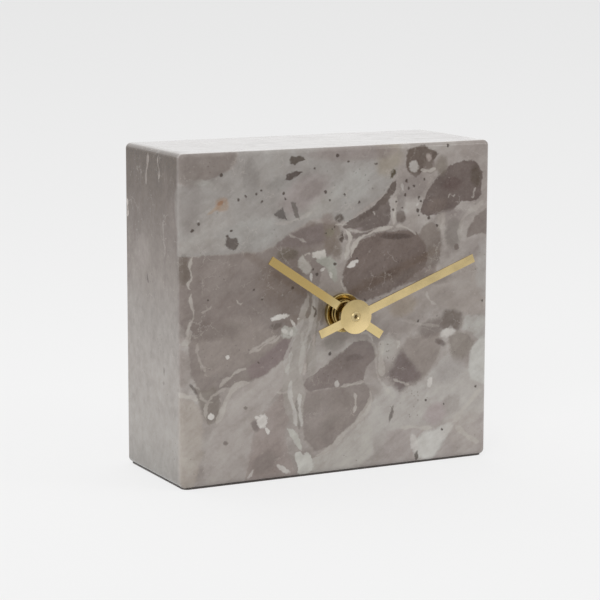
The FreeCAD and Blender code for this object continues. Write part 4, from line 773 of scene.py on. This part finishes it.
# Pale seams between the fragments, in parts of a fragment, and the patches of stone that have them.
SEAM_EDGE_SHARES = (0.06, 0.012)
SEAM_PATCH_SIZE = 16.0
SEAM_PATCH_LEVELS = (0.42, 0.56)
SEAM_SHARE = 0.8

# The front's ground, which its own figure is painted on.
GROUND_SIZE = 9.0
GROUND_STRETCH = (2.0, 1.0, 1.0)
GROUND_LEVELS = (0.35, 0.7)
GROUND_DARK = stone(147, 139, 134)
GROUND_PALE = stone(164, 158, 153)

# The left side is paler towards the foot, partly as painted light from the floor, and reddish and streaked at the
# top, as the stone is.
FLANK_FOOT = 6.0
FLANK_HEAD = 106.0
FLANK_STREAK_SIZE = 2.6
FLANK_STREAK_STRETCH = (1.0, 1.0, 9.0)
FLANK_STREAK_DRIFT = 12.0
FLANK_TONES = [
    (0.0, stone(143, 139, 134)), (0.12, stone(155, 150, 145)), (0.32, stone(154, 148, 143)),
    (0.48, stone(144, 138, 133)), (0.62, stone(133, 125, 119)), (0.77, stone(114, 105, 99)),
    (0.87, stone(101, 91, 84)), (1.0, stone(88, 78, 70)),
]

# The top face is a plain stretch of the stone.
TOP_PLAIN_START = 93.0
TOP_PLAIN_END = 98.5
TOP_PLAIN_SHARE = 0.75
TOP_TONE = stone(142, 139, 138)

# Grain all over the stone, in millimetres: mottling, slanting streaks, a fine speckle and hairline cracks.
PLAIN = (1.0, 1.0, 1.0, 1.0)
MOTTLE_SIZE = 5.5
MOTTLE_TONES = [(0.3, (0.88, 0.865, 0.855, 1.0)), (0.5, PLAIN), (0.7, (1.09, 1.105, 1.11, 1.0))]
STREAK_SIZE = 2.6
STREAK_ANGLE = 35.0
STREAK_STRETCH = 4.0
STREAK_TONES = [(0.32, (0.9, 0.89, 0.89, 1.0)), (0.5, PLAIN), (0.7, (1.07, 1.08, 1.08, 1.0))]
SPECKLE_SIZE = 1.1
SPECKLE_LEVELS = (0.3, 0.7)
SPECKLE_SHARE = 0.012
CRACK_CELL = 4.6
CRACK_BEND = 2.8
CRACK_WIDTH_SHARES = (0.035, 0.0)
CRACK_PATCH_SIZE = 6.0
CRACK_PATCH_LEVELS = (0.53, 0.66)
CRACK_SHARE = 0.35

# Pale flecks and dark pepper: cell, radii in parts of it, size, detail and levels of the patches that
# have them, tone, strength share.
FINE_MARKS = (
    (1.3, (0.22, 0.12), 7.0, 2.0, (0.5, 0.68), VEIN_TONE, 0.3),
    (1.7, (0.2, 0.1), 8.0, 1.0, (0.55, 0.7), SPECK_TONE, 0.4),
)

# The polish is a little uneven.
POLISH_SIZE = 7.0
POLISH_LEVELS = (0.3, 0.7)
POLISH_ROUGHNESS = (0.1, 0.2)
POLISH_DEPTH = 0.012
MOTTLE_HEIGHT_SHARE = 0.5


def marble():
    s = Shader("polished_marble")
    place = s.place

    middle = (MIDDLE_LEVEL,) * 3
    coarse = s.vector("SUBTRACT", s.noise(place, COARSE_BEND_SIZE, output="Color"), middle)
    fine = s.vector("SUBTRACT", s.noise(place, FINE_BEND_SIZE, *WAVERING, output="Color"), middle)
    bent = s.bent(place, coarse, COARSE_BEND, fine, FINE_BEND)
    bx, by, bz = s.split(bent)
    front = s.combine(bx, s.math("SUBTRACT", bz, FIGURE_RISE), 1.0)
    side = s.combine(by, bz, 1.0)
    uneven = s.noise(place, RAGGED_SIZE, *TORN)

    # General breccia through the whole block.
    loose = s.bent(place, coarse, FRAGMENT_COARSE_BEND, fine, FRAGMENT_FINE_BEND)
    fragment = s.split(s.cells(loose, FRAGMENT_SIZE, output="Color"))[0]
    crumb = s.split(s.cells(loose, CRUMB_SIZE, output="Color"))[1]
    border = s.cells(loose, FRAGMENT_SIZE, feature="DISTANCE_TO_EDGE")
    tone = s.math("MULTIPLY_ADD", crumb, CRUMB_TONE_SHARE, s.math("MULTIPLY", fragment, FRAGMENT_TONE_SHARE))
    tone = s.math("MULTIPLY_ADD", s.noise(place, DRIFT_SIZE, *DRIFTING), DRIFT_TONE_SHARE, tone)
    seam_there = s.patchy(place, SEAM_PATCH_SIZE, SEAM_PATCH_LEVELS)
    seam = s.math("MULTIPLY", s.span(border, *SEAM_EDGE_SHARES), seam_there)
    body = s.over(s.ramp(tone, BODY_TONES), VEIN_TONE, seam, SEAM_SHARE)

    # The front's own figure.
    ground = s.patchy(s.local(place, GROUND_STRETCH), GROUND_SIZE, GROUND_LEVELS, *GRAINY)
    field = s.mix(ground, GROUND_DARK, GROUND_PALE)
    figure = {
        "fields": laid(FIELDS.values(), patch, EDGE_RAGGED),
        "fall": laid(FALL, vein, VEIN_RAGGED),
        "clasts": laid(CLASTS.values(), patch, EDGE_RAGGED),
        "masses": laid(MASSES.values(), patch, EDGE_RAGGED),
        "clouds": laid(PATCHES, cloud, CLOUD_RAGGED),
        "chips": laid(CHIPS.values(), patch, EDGE_RAGGED),
        "crystals": joined(WHITES, blob, CRYSTAL_RAGGED, WHITE_TONE),
        "veins": joined(VEINS, vein, VEIN_RAGGED, VEIN_TONE),
        "specks": dots(SPECKS, SPECK_TONE),
    }
    for name, paint in figure.items():
        field = s.use(group("front_" + name, paint), front, uneven, field)

    # The left side's own figure, painted paler towards the foot as painted light from the floor.
    streaks = s.noise(s.local(place, FLANK_STREAK_STRETCH), FLANK_STREAK_SIZE, *GRAINY)
    height = s.math("MULTIPLY_ADD", streaks, FLANK_STREAK_DRIFT, s.split(place)["Z"])
    flank = s.ramp(s.span(height, FLANK_FOOT, FLANK_HEAD, smooth=False), FLANK_TONES)
    flank_figure = {
        "stripes": laid(SIDE_VEINS, vein, VEIN_RAGGED),
        "clouds": laid(SIDE_PATCHES, cloud, CLOUD_RAGGED),
    }
    for name, paint in flank_figure.items():
        flank = s.use(group("side_" + name, paint), side, uneven, flank)

    on_left = s.span(bx, LEFT_X + FIGURE_DEPTH_END, LEFT_X + FIGURE_DEPTH_START)
    on_front = s.span(by, FRONT_Y + FIGURE_DEPTH_END, FRONT_Y + FIGURE_DEPTH_START)
    skin = s.over(body, TOP_TONE, s.span(bz, TOP_PLAIN_START, TOP_PLAIN_END), TOP_PLAIN_SHARE)
    skin = s.mix(on_left, skin, flank)
    skin = s.mix(on_front, skin, field)

    # Fine grain everywhere.
    mottle = s.noise(bent, MOTTLE_SIZE, *MOTTLED)
    lay = math.radians(STREAK_ANGLE)
    along = s.math("MULTIPLY_ADD", bx, math.cos(lay), s.math("MULTIPLY", bz, math.sin(lay)))
    across = s.math("MULTIPLY_ADD", bz, math.cos(lay), s.math("MULTIPLY", bx, -math.sin(lay)))
    slanting = s.combine(s.math("DIVIDE", along, STREAK_STRETCH), by, across)
    streak = s.noise(slanting, STREAK_SIZE, *GRAINY)
    skin = s.mix(1.0, skin, s.ramp(mottle, MOTTLE_TONES), "MULTIPLY")
    skin = s.mix(1.0, skin, s.ramp(streak, STREAK_TONES), "MULTIPLY")
    # Added, not multiplied, so that it shows in the dark fragments as well.
    speckle = s.patchy(bent, SPECKLE_SIZE, SPECKLE_LEVELS, *GRITTY)
    skin = s.mix(SPECKLE_SHARE, skin, speckle, "LINEAR_LIGHT")
    torn = s.vector("ADD", place, s.vector("SCALE", fine, scale=CRACK_BEND))
    crack = s.span(s.cells(torn, CRACK_CELL, feature="DISTANCE_TO_EDGE"), *CRACK_WIDTH_SHARES)
    hair = s.math("MULTIPLY", crack, s.patchy(place, CRACK_PATCH_SIZE, CRACK_PATCH_LEVELS))
    skin = s.over(skin, VEIN_TONE, hair, CRACK_SHARE)
    for cell, radii, patch_size, detail, levels, tint, strength in FINE_MARKS:
        mark = s.span(s.cells(bent, cell), *radii)
        there = s.patchy(place, patch_size, levels, detail)
        skin = s.over(skin, tint, s.math("MULTIPLY", mark, there), strength)

    s.set(base_color=skin)
    s.set(roughness=s.span(s.noise(place, POLISH_SIZE, *CLOUDY), *POLISH_LEVELS, *POLISH_ROUGHNESS))
    s.bump(s.math("MULTIPLY_ADD", mottle, MOTTLE_HEIGHT_SHARE, s.math("MULTIPLY", hair, -1.0)), POLISH_DEPTH)
    return s.material


# Brass, in millimetres: grain, stains, and how far a hand's disc falls off towards its rim.
BRASS_GRAIN_DEPTH = 0.004
BRUSH_STRETCH = 30.0
STAIN_SIZE = 6.0
STAIN_LEVELS = (0.4, 0.75)
STAIN_SHADE_SHARE = 0.82
DISC_RADIUS = 5.2
DISC_CROWN = 0.12
# Painted light and shade on a turned disc: its colour runs from darker at the upper left to brighter at the lower
# right.
DISC_PAINTED_LIGHT_ANGLE = -40.0
DISC_EDGE = 0.3
DISC_PAINTED_SHADE_TONE = (0.9, 0.88, 0.82, 1.0)
DISC_PAINTED_LIGHT_TONE = (1.07, 1.07, 1.1, 1.0)

# Painted shade on the hour hand's long arm: its colour is painted deeper in tone from this far out along it.
PAINTED_SHADE_START = 5.0
PAINTED_SHADE_END = 13.0
PAINTED_SHADE_SHARE = 0.9
PAINTED_SHADE_TONE = (0.6, 0.432, 0.165, 1.0)


def shade(tint, share):
    """The tint at that share of its strength."""
    return tuple(c * share for c in tint[:3]) + (1.0,)


def brass(name, tint, ring_size, rough_low, rough_high, brushed_angle=None, painted_shade_angle=None):
    """Bright brass with turned rings about the hands' axis, or brushed along one direction of the dial.

    The last angle names an arm that is painted darker towards its end, as painted shade.
    """
    s = Shader(name)
    x, y, z = s.split(s.place)
    up = s.math("SUBTRACT", z, HAND_Z)
    across = s.combine(x, up, 0.0)
    square = s.math("MULTIPLY_ADD", x, x, s.math("MULTIPLY", up, up))
    away = s.math("SQRT", square)

    def along(angle):
        aim = math.radians(angle)
        return s.vector("DOT_PRODUCT", across, (math.cos(aim), math.sin(aim), 0.0))

    stain = s.patchy(s.place, STAIN_SIZE, STAIN_LEVELS, *MOTTLED)
    tone = s.mix(stain, tint, shade(tint, STAIN_SHADE_SHARE))
    if brushed_angle is None:
        rings = s.combine(s.math("DIVIDE", away, ring_size), s.math("DIVIDE", y, ring_size), 0.0)
        grain = s.noise(rings, 1.0, *COARSE_GRAINY)
        height = s.math("MULTIPLY", grain, BRASS_GRAIN_DEPTH)
    else:
        lay = s.local(across, (ring_size * BRUSH_STRETCH, ring_size, 1.0), math.radians(brushed_angle))
        grain = s.noise(lay, 1.0, *COARSE_GRAINY)
        # Stamped sheet is never quite flat: each disc falls off a little from its middle.
        fall = s.math("MINIMUM", s.math("DIVIDE", square, DISC_RADIUS * DISC_RADIUS), 1.0)
        height = s.math("MULTIPLY_ADD", fall, -DISC_CROWN, s.math("MULTIPLY", grain, BRASS_GRAIN_DEPTH))
        # Painted light and shade: the disc's colour is made darker to the upper left and brighter to the lower
        # right, inside its rim.
        slant = s.span(along(DISC_PAINTED_LIGHT_ANGLE), -DISC_RADIUS, DISC_RADIUS)
        painted_light = s.mix(slant, DISC_PAINTED_SHADE_TONE, DISC_PAINTED_LIGHT_TONE)
        inside = s.span(away, DISC_RADIUS + DISC_EDGE, DISC_RADIUS)
        tone = s.mix(inside, tone, s.mix(1.0, tone, painted_light, "MULTIPLY"))
    # Painted shade: the arm at that angle is painted darker towards its end.
    if painted_shade_angle is not None:
        far_out = s.span(along(painted_shade_angle), PAINTED_SHADE_START, PAINTED_SHADE_END)
        tone = s.over(tone, PAINTED_SHADE_TONE, far_out, PAINTED_SHADE_SHARE)
    s.set(base_color=tone, metallic=1.0, roughness=s.span(grain, *WIDE_LEVELS, rough_low, rough_high))
    s.bump(height, 1.0)
    return s.material


# Strip metal, in millimetres: its drawn grain, and clouds in its tone.
METAL_GRAIN_SIZE = 0.6
METAL_GRAIN_STRETCH = (8.0, 1.0, 1.0)
METAL_GRAIN_DEPTH = 0.006
METAL_CLOUD_SIZE = 5.0
METAL_CLOUD_LEVELS = (0.35, 0.75)
METAL_SHADE_SHARE = 0.75
METAL_ROUGH_SHARES = (0.7, 1.3)


def metal(name, tint, rough):
    """Rolled or stamped strip metal with a drawn grain."""
    s = Shader(name)
    grain = s.noise(s.local(s.place, METAL_GRAIN_STRETCH), METAL_GRAIN_SIZE, *GRAINY)
    cloud = s.patchy(s.place, METAL_CLOUD_SIZE, METAL_CLOUD_LEVELS, *CLOUDY)
    s.set(base_color=s.mix(cloud, tint, shade(tint, METAL_SHADE_SHARE)), metallic=1.0)
    s.set(roughness=s.span(grain, *WIDE_LEVELS, *(rough * share for share in METAL_ROUGH_SHARES)))
    s.bump(grain, METAL_GRAIN_DEPTH)
    return s.material


# Plastics: a cloud in the tone, in millimetres, and how the texture changes the roughness.
PLASTIC_CLOUD_SIZE = 9.0
PLASTIC_LIGHT_SHARE = 1.12
PLASTIC_LIFT = 0.004
PLASTIC_ROUGH_SHARES = (0.85, 1.15)
PLASTIC_GLOW_RADIUS = (1.0, 0.8, 0.6)


def plastic(name, tint, rough, texture_size, texture_depth, translucent=0.0):
    """Moulded plastic: a faint cloud in the colour and a fine surface texture."""
    s = Shader(name)
    cloud = s.patchy(s.place, PLASTIC_CLOUD_SIZE, NARROW_LEVELS, *CLOUDY)
    texture = s.noise(s.place, texture_size, *WAVERING)
    light = tuple(c * PLASTIC_LIGHT_SHARE + PLASTIC_LIFT for c in tint[:3]) + (1.0,)
    s.set(base_color=s.mix(cloud, tint, light))
    s.set(roughness=s.span(texture, *NARROW_LEVELS, *(rough * share for share in PLASTIC_ROUGH_SHARES)))
    if translucent:
        s.set(subsurface_weight=translucent, subsurface_scale=MM, subsurface_radius=PLASTIC_GLOW_RADIUS)
    s.bump(texture, texture_depth)
    return s.material


# Felt, in millimetres: curled fibres.
FELT_FIBRE_SIZE = 0.35
FELT_CURL_SIZE = 1.5
FELT_CURL = 2.0
FELT_DEPTH = 0.15
FELT_TONES = [(0.3, colour(58, 50, 46)), (0.7, colour(92, 82, 76))]
FELT_SHEEN_SHARE = 0.4
FELT_SHEEN_ROUGHNESS = 0.5


def felt():
    s = Shader("felt_pad")
    curl = s.vector("SCALE", s.noise(s.place, FELT_CURL_SIZE, output="Color"), scale=FELT_CURL)
    fibre = s.noise(s.vector("ADD", s.place, curl), FELT_FIBRE_SIZE, *COARSE_GRAINY)
    s.set(base_color=s.ramp(fibre, FELT_TONES), roughness=1.0)
    s.set(sheen_weight=FELT_SHEEN_SHARE, sheen_roughness=FELT_SHEEN_ROUGHNESS)
    s.bump(fibre, FELT_DEPTH)
    return s.material


# Copper winding, in millimetres: turns of enamelled wire side by side.
WIRE_PITCH = 0.32
WIRE_DEPTH = 0.06
WIRE_CLOUD_SIZE = 2.0
WIRE_DARK = (0.62, 0.24, 0.09, 1.0)
WIRE_BRIGHT = (0.78, 0.36, 0.15, 1.0)
WIRE_METAL_SHARE = 0.85
WIRE_ROUGHNESS = 0.3


def winding():
    s = Shader("enamelled_copper")
    turns = s.math("SINE", s.math("MULTIPLY", s.split(s.place)["X"], 2 * math.pi / WIRE_PITCH))
    cloud = s.patchy(s.place, WIRE_CLOUD_SIZE, NARROW_LEVELS, *CLOUDY)
    s.set(base_color=s.mix(cloud, WIRE_DARK, WIRE_BRIGHT))
    s.set(metallic=WIRE_METAL_SHARE, roughness=WIRE_ROUGHNESS)
    s.bump(turns, WIRE_DEPTH)
    return s.material


# Circuit board, in millimetres: upright tracks that step sideways from row to row over a glass weave.
WEAVE_SIZE = 0.5
WEAVE_HEIGHT_SHARE = 0.2
TRACK_PITCH = 1 / 0.42
TRACK_ROW = 4.4
TRACK_STEP = 1.2
TRACK_EDGE_SHARES = (0.6, 0.66)
TRACK_DEPTH = 0.03
TRACK_TONE = colour(64, 128, 74)
BOARD_DARK = colour(18, 78, 44)
BOARD_PALE = colour(26, 92, 54)
BOARD_ROUGHNESS = 0.32


def board():
    s = Shader("lacquered_board")
    weave = s.cells(s.place, WEAVE_SIZE)
    x, _, z = s.split(s.place)
    step = s.math("MULTIPLY", s.math("FRACT", s.math("DIVIDE", z, TRACK_ROW)), TRACK_STEP)
    stripe = s.math("FRACT", s.math("DIVIDE", s.math("ADD", x, step), TRACK_PITCH))
    track = s.span(stripe, *TRACK_EDGE_SHARES)
    green = s.mix(weave, BOARD_DARK, BOARD_PALE)
    s.set(base_color=s.mix(track, green, TRACK_TONE), roughness=BOARD_ROUGHNESS)
    s.bump(s.math("MULTIPLY_ADD", weave, WEAVE_HEIGHT_SHARE, track), TRACK_DEPTH)
    return s.material


# Battery, in millimetres from its ends: the sleeve's band, and where its caps are bare.
BAND_START = 13.2
BAND_END = 13.0
PLUS_BARE_START = 1.6
PLUS_BARE_END = 1.5
MINUS_BARE_START = 0.9
MINUS_BARE_END = 0.7
SLEEVE_WRINKLE_SIZE = 3.0
SLEEVE_WRINKLE_STRETCH = (6.0, 1.0, 1.0)
SLEEVE_DEPTH = 0.01
SLEEVE_ROUGHNESS = (0.22, 0.34)
SLEEVE_DARK = colour(176, 180, 182)
SLEEVE_PALE = colour(190, 193, 194)
BAND_TONE = colour(96, 99, 102)
CAP_TONE = (0.62, 0.62, 0.6, 1.0)


def battery_sleeve():
    """A plain pale shrink sleeve with a grey band at the positive end, and bare metal on the end caps."""
    s = Shader("battery_sleeve")
    x = s.split(s.place)["X"]
    minus_end, plus_end = (corner[0] * PER_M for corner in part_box("battery"))
    band = s.span(x, plus_end - BAND_START, plus_end - BAND_END)
    wrinkle = s.noise(s.local(s.place, SLEEVE_WRINKLE_STRETCH), SLEEVE_WRINKLE_SIZE, *CLOUDY)
    sleeve = s.mix(wrinkle, SLEEVE_DARK, SLEEVE_PALE)
    bare = s.math("MAXIMUM", s.span(x, minus_end + MINUS_BARE_START, minus_end + MINUS_BARE_END),
                  s.span(x, plus_end - PLUS_BARE_START, plus_end - PLUS_BARE_END))
    s.set(base_color=s.mix(bare, s.mix(band, sleeve, BAND_TONE), CAP_TONE), metallic=bare)
    s.set(roughness=s.span(wrinkle, *NARROW_LEVELS, *SLEEVE_ROUGHNESS))
    s.bump(wrinkle, SLEEVE_DEPTH)
    return s.material


# Sintered magnet, in millimetres: a dark metal grit.
MAGNET_GRIT_SIZE = 0.3
MAGNET_DEPTH = 0.02
MAGNET_TONES = [(0.3, (0.08, 0.08, 0.085, 1.0)), (0.7, (0.2, 0.2, 0.21, 1.0))]
MAGNET_METAL_SHARE = 0.7
MAGNET_ROUGHNESS = 0.55


def magnet():
    s = Shader("sintered_magnet")
    grit = s.noise(s.place, MAGNET_GRIT_SIZE, *COARSE_GRAINY)
    s.set(base_color=s.ramp(grit, MAGNET_TONES))
    s.set(metallic=MAGNET_METAL_SHARE, roughness=MAGNET_ROUGHNESS)
    s.bump(grit, MAGNET_DEPTH)
    return s.material


# Brass: how the hands point, in degrees, and the rings or strokes left by its finishing, in millimetres.
MINUTE_HAND_ANGLE = 20.41
HOUR_HAND_ANGLE = 145.97
TURNED_RING = 0.35
BRUSHED_RING = 0.12

# Plastics: name, colour, roughness, texture size and depth in millimetres, glow share.
PLASTICS = {
    "rubber": ("washer_rubber", (0.02, 0.02, 0.02, 1.0), 0.7, 0.5, 0.02),
    "case_plastic": ("case_plastic", (0.03, 0.03, 0.032, 1.0), 0.5, 0.35, 0.03),
    "knob_plastic": ("knob_plastic", (0.05, 0.05, 0.052, 1.0), 0.38, 0.5, 0.01),
    "plate_plastic": ("plate_plastic", (0.68, 0.66, 0.61, 1.0), 0.4, 0.6, 0.01, 0.15),
    "wheel_plastic": ("wheel_plastic", (0.84, 0.82, 0.76, 1.0), 0.3, 0.8, 0.006, 0.25),
    "bobbin_plastic": ("bobbin_plastic", (0.72, 0.68, 0.56, 1.0), 0.35, 0.8, 0.006, 0.2),
    "chip_resin": ("chip_resin", (0.02, 0.02, 0.021, 1.0), 0.45, 0.3, 0.015),
}

# Strip metals: name, colour, roughness.
METALS = {
    "steel": ("bright_steel", (0.6, 0.6, 0.6, 1.0), 0.26),
    "strip_steel": ("nickel_strip", (0.66, 0.64, 0.58, 1.0), 0.3),
    "core_steel": ("stamped_core", (0.42, 0.42, 0.43, 1.0), 0.38),
    "crystal_can": ("crystal_can", (0.72, 0.72, 0.72, 1.0), 0.2),
}

# What each material slot looks like. Three brass pieces differ a little from the rest of their slot; the hour hand
# and the threaded bush are darker copies, as painted shade.
FINISHES = {
    "marble": marble(),
    "felt": felt(),
    "turned_brass": brass("turned_brass", (0.5, 0.38, 0.16, 1.0), TURNED_RING, 0.14, 0.26),
    "hand_brass": brass("hand_brass", (0.83, 0.655, 0.335, 1.0), BRUSHED_RING, 0.14, 0.24,
                        brushed_angle=MINUTE_HAND_ANGLE),
    "magnet": magnet(),
    "copper_wire": winding(),
    "board": board(),
    "battery_wrap": battery_sleeve(),
}
for slot, values in PLASTICS.items():
    FINISHES[slot] = plastic(*values)
for slot, values in METALS.items():
    FINISHES[slot] = metal(*values)
PIECE_FINISHES = {
    # The hour hand is a darker copy of the hand brass, painted shade that deepens along its long arm.
    "hour_hand": brass("hour_brass_painted_shade", (0.77, 0.61, 0.3, 1.0), BRUSHED_RING, 0.14, 0.24,
                       brushed_angle=HOUR_HAND_ANGLE, painted_shade_angle=HOUR_HAND_ANGLE),
    "minute_arbor": brass("arbor_brass", (0.7, 0.56, 0.3, 1.0), TURNED_RING, 0.3, 0.42),
    # The threaded bush is a much darker copy of the turned brass: painted shade, where it lies in the washer's
    # shadow.
    "threaded_bush": brass("bush_brass_painted_shade", (0.36, 0.26, 0.1, 1.0), TURNED_RING, 0.16, 0.28),
}

for part in frame["record"]["subparts"]:
    mesh = nodes[part["node"]].data
    mesh.materials.clear()
    mesh.materials.append(PIECE_FINISHES.get(part["node"]) or FINISHES[part["material_slot"]])


# Stage, in metres: a pale seamless floor, light for the camera and in reflections, with a faint shadow.
FLOOR_HALF = 14.0
FLOOR_TONE = 0.8
FLOOR_NEAR = 0.925
FLOOR_DROP = 0.14
FLOOR_DROP_HALFWAY = 0.5
FLAT_SHARE = 0.8
FRONT_FADE_START = -0.2
FRONT_FADE_END = -0.46
FRONT_FADE_LEVEL = 0.5


def floor():
    half = FLOOR_HALF
    mesh = bpy.data.meshes.new("floor")
    corners = [(-half, -half, 0), (half, -half, 0), (half, half, 0), (-half, half, 0)]
    mesh.from_pydata(corners, [], [(0, 1, 2, 3)])
    piece = bpy.data.objects.new("floor", mesh)
    bpy.context.scene.collection.objects.link(piece)
    material = bpy.data.materials.new("pale_floor")
    material.use_nodes = True
    n = Nodes(material.node_tree)
    n.tree.nodes.clear()
    place = n.add("ShaderNodeTexCoord").outputs["Object"]
    away = n.vector("LENGTH", place)
    far_share = n.math("DIVIDE", away, n.math("ADD", away, FLOOR_DROP_HALFWAY))
    fade = n.math("MULTIPLY_ADD", far_share, -FLOOR_DROP, FLOOR_NEAR)
    front = n.span(n.split(place)["Y"], FRONT_FADE_START, FRONT_FADE_END, 1.0, FRONT_FADE_LEVEL)
    rays = n.add("ShaderNodeLightPath").outputs
    flat = n.add("ShaderNodeEmission")
    n.put(flat.inputs["Strength"], n.blend(rays["Is Glossy Ray"], fade, n.math("MULTIPLY", fade, front)))
    matt = n.add("ShaderNodeBsdfDiffuse")
    matt.inputs["Color"].default_value = (FLOOR_TONE, FLOOR_TONE, FLOOR_TONE, 1.0)
    seen = n.math("MAXIMUM", rays["Is Camera Ray"], rays["Is Glossy Ray"])
    mixed = n.add("ShaderNodeMixShader")
    share = n.math("MULTIPLY", seen, FLAT_SHARE)
    for socket, value in zip(mixed.inputs, (share, matt.outputs[0], flat.outputs[0])):
        n.put(socket, value)
    n.put(n.add("ShaderNodeOutputMaterial").inputs["Surface"], mixed.outputs[0])
    mesh.materials.append(material)


floor()

# World: a plain studio dome, brighter overhead, dimmer in front of the dial above the floor.
# Levels are strengths; heights and depths are parts of the direction's unit length.
ZENITH_LEVEL = 1.35
ZENITH_HEIGHT = 0.9
HORIZON_LEVEL = 0.9
FRONT_LEVEL = 0.55
FRONT_START = -0.2
FRONT_END = -0.8
REAR_START = 0.45
REAR_END = 0.8
REAR_LOW_LEVEL = 1.35
REAR_LOW_HEIGHT = 0.1
REAR_HIGH_LEVEL = 2.3
REAR_HIGH_HEIGHT = 0.3


def dome():
    world = bpy.data.worlds.new("studio")
    bpy.context.scene.world = world
    world.use_nodes = True
    n = Nodes(world.node_tree)
    n.tree.nodes.clear()
    _, y, z = n.split(n.add("ShaderNodeTexCoord").outputs["Generated"])
    rise = n.span(z, 0.0, ZENITH_HEIGHT, HORIZON_LEVEL, ZENITH_LEVEL)
    forward = n.span(y, FRONT_START, FRONT_END, 1.0, FRONT_LEVEL)
    # A lit sweep behind the clock, brightest a little above the horizon.
    climb = n.span(z, REAR_LOW_HEIGHT, REAR_HIGH_HEIGHT, REAR_LOW_LEVEL, REAR_HIGH_LEVEL)
    level = n.blend(n.span(y, REAR_START, REAR_END), n.math("MULTIPLY", rise, forward), climb)
    light = n.add("ShaderNodeBackground")
    n.put(light.inputs["Strength"], level)
    n.put(n.add("ShaderNodeOutputWorld").inputs["Surface"], light.outputs[0])


dome()


# Square softboxes aimed at the clock's middle, in metres and watts.
SOFTBOX_AIM = Vector((0.0, 0.0, 0.05))
LEFT_SOFTBOX_PLACE = Vector((-1.5, -1.6, 1.3))
LEFT_SOFTBOX_SIZE = 0.9
LEFT_SOFTBOX_POWER = 14.0
RIGHT_SOFTBOX_PLACE = Vector((1.6, -1.4, 1.2))
RIGHT_SOFTBOX_SIZE = 0.8
RIGHT_SOFTBOX_POWER = 8.0


def softbox(name, place, size, power):
    lamp = bpy.data.lights.new(name, "AREA")
    lamp.shape = "SQUARE"
    lamp.size = size
    lamp.energy = power
    holder = bpy.data.objects.new(name, lamp)
    bpy.context.scene.collection.objects.link(holder)
    holder.location = place
    holder.rotation_euler = (SOFTBOX_AIM - place).to_track_quat("-Z", "Y").to_euler()


softbox("front_left_softbox", LEFT_SOFTBOX_PLACE, LEFT_SOFTBOX_SIZE, LEFT_SOFTBOX_POWER)
softbox("front_right_softbox", RIGHT_SOFTBOX_PLACE, RIGHT_SOFTBOX_SIZE, RIGHT_SOFTBOX_POWER)

# Camera, as worked out from the block's edges in the photograph: angles in degrees, lengths in millimetres.
CAMERA_YAW = 27.095
CAMERA_PITCH = 9.404
CAMERA_ROLL = -0.119
CAMERA_DISTANCE = 705.08
CAMERA_TARGET = (-2.813, 0.0, 50.66)
CAMERA_LENS = 136.306
SENSOR_WIDTH = 36.0

# The camera's nearest and farthest view, in metres.
CLIP_NEAR = 0.01
CLIP_FAR = 100.0


def camera():
    yaw, pitch, roll = (math.radians(v) for v in (CAMERA_YAW, CAMERA_PITCH, CAMERA_ROLL))
    ahead = Vector((math.sin(yaw) * math.cos(pitch), math.cos(yaw) * math.cos(pitch), -math.sin(pitch)))
    level = Vector((math.cos(yaw), -math.sin(yaw), 0.0))
    down = ahead.cross(level)
    right = math.cos(roll) * level + math.sin(roll) * down
    below = math.cos(roll) * down - math.sin(roll) * level
    place = (Vector(CAMERA_TARGET) - ahead * CAMERA_DISTANCE) * MM
    data = bpy.data.cameras.new("photo_camera")
    data.lens = CAMERA_LENS
    data.sensor_width = SENSOR_WIDTH
    data.sensor_fit = "HORIZONTAL"
    data.clip_start = CLIP_NEAR
    data.clip_end = CLIP_FAR
    holder = bpy.data.objects.new("photo_camera", data)
    bpy.context.scene.collection.objects.link(holder)
    turn = Matrix((right, -below, -ahead)).transposed()
    holder.matrix_world = Matrix.Translation(place) @ turn.to_4x4()
    bpy.context.scene.camera = holder


camera()
bpy.context.scene.view_settings.view_transform = "Standard"
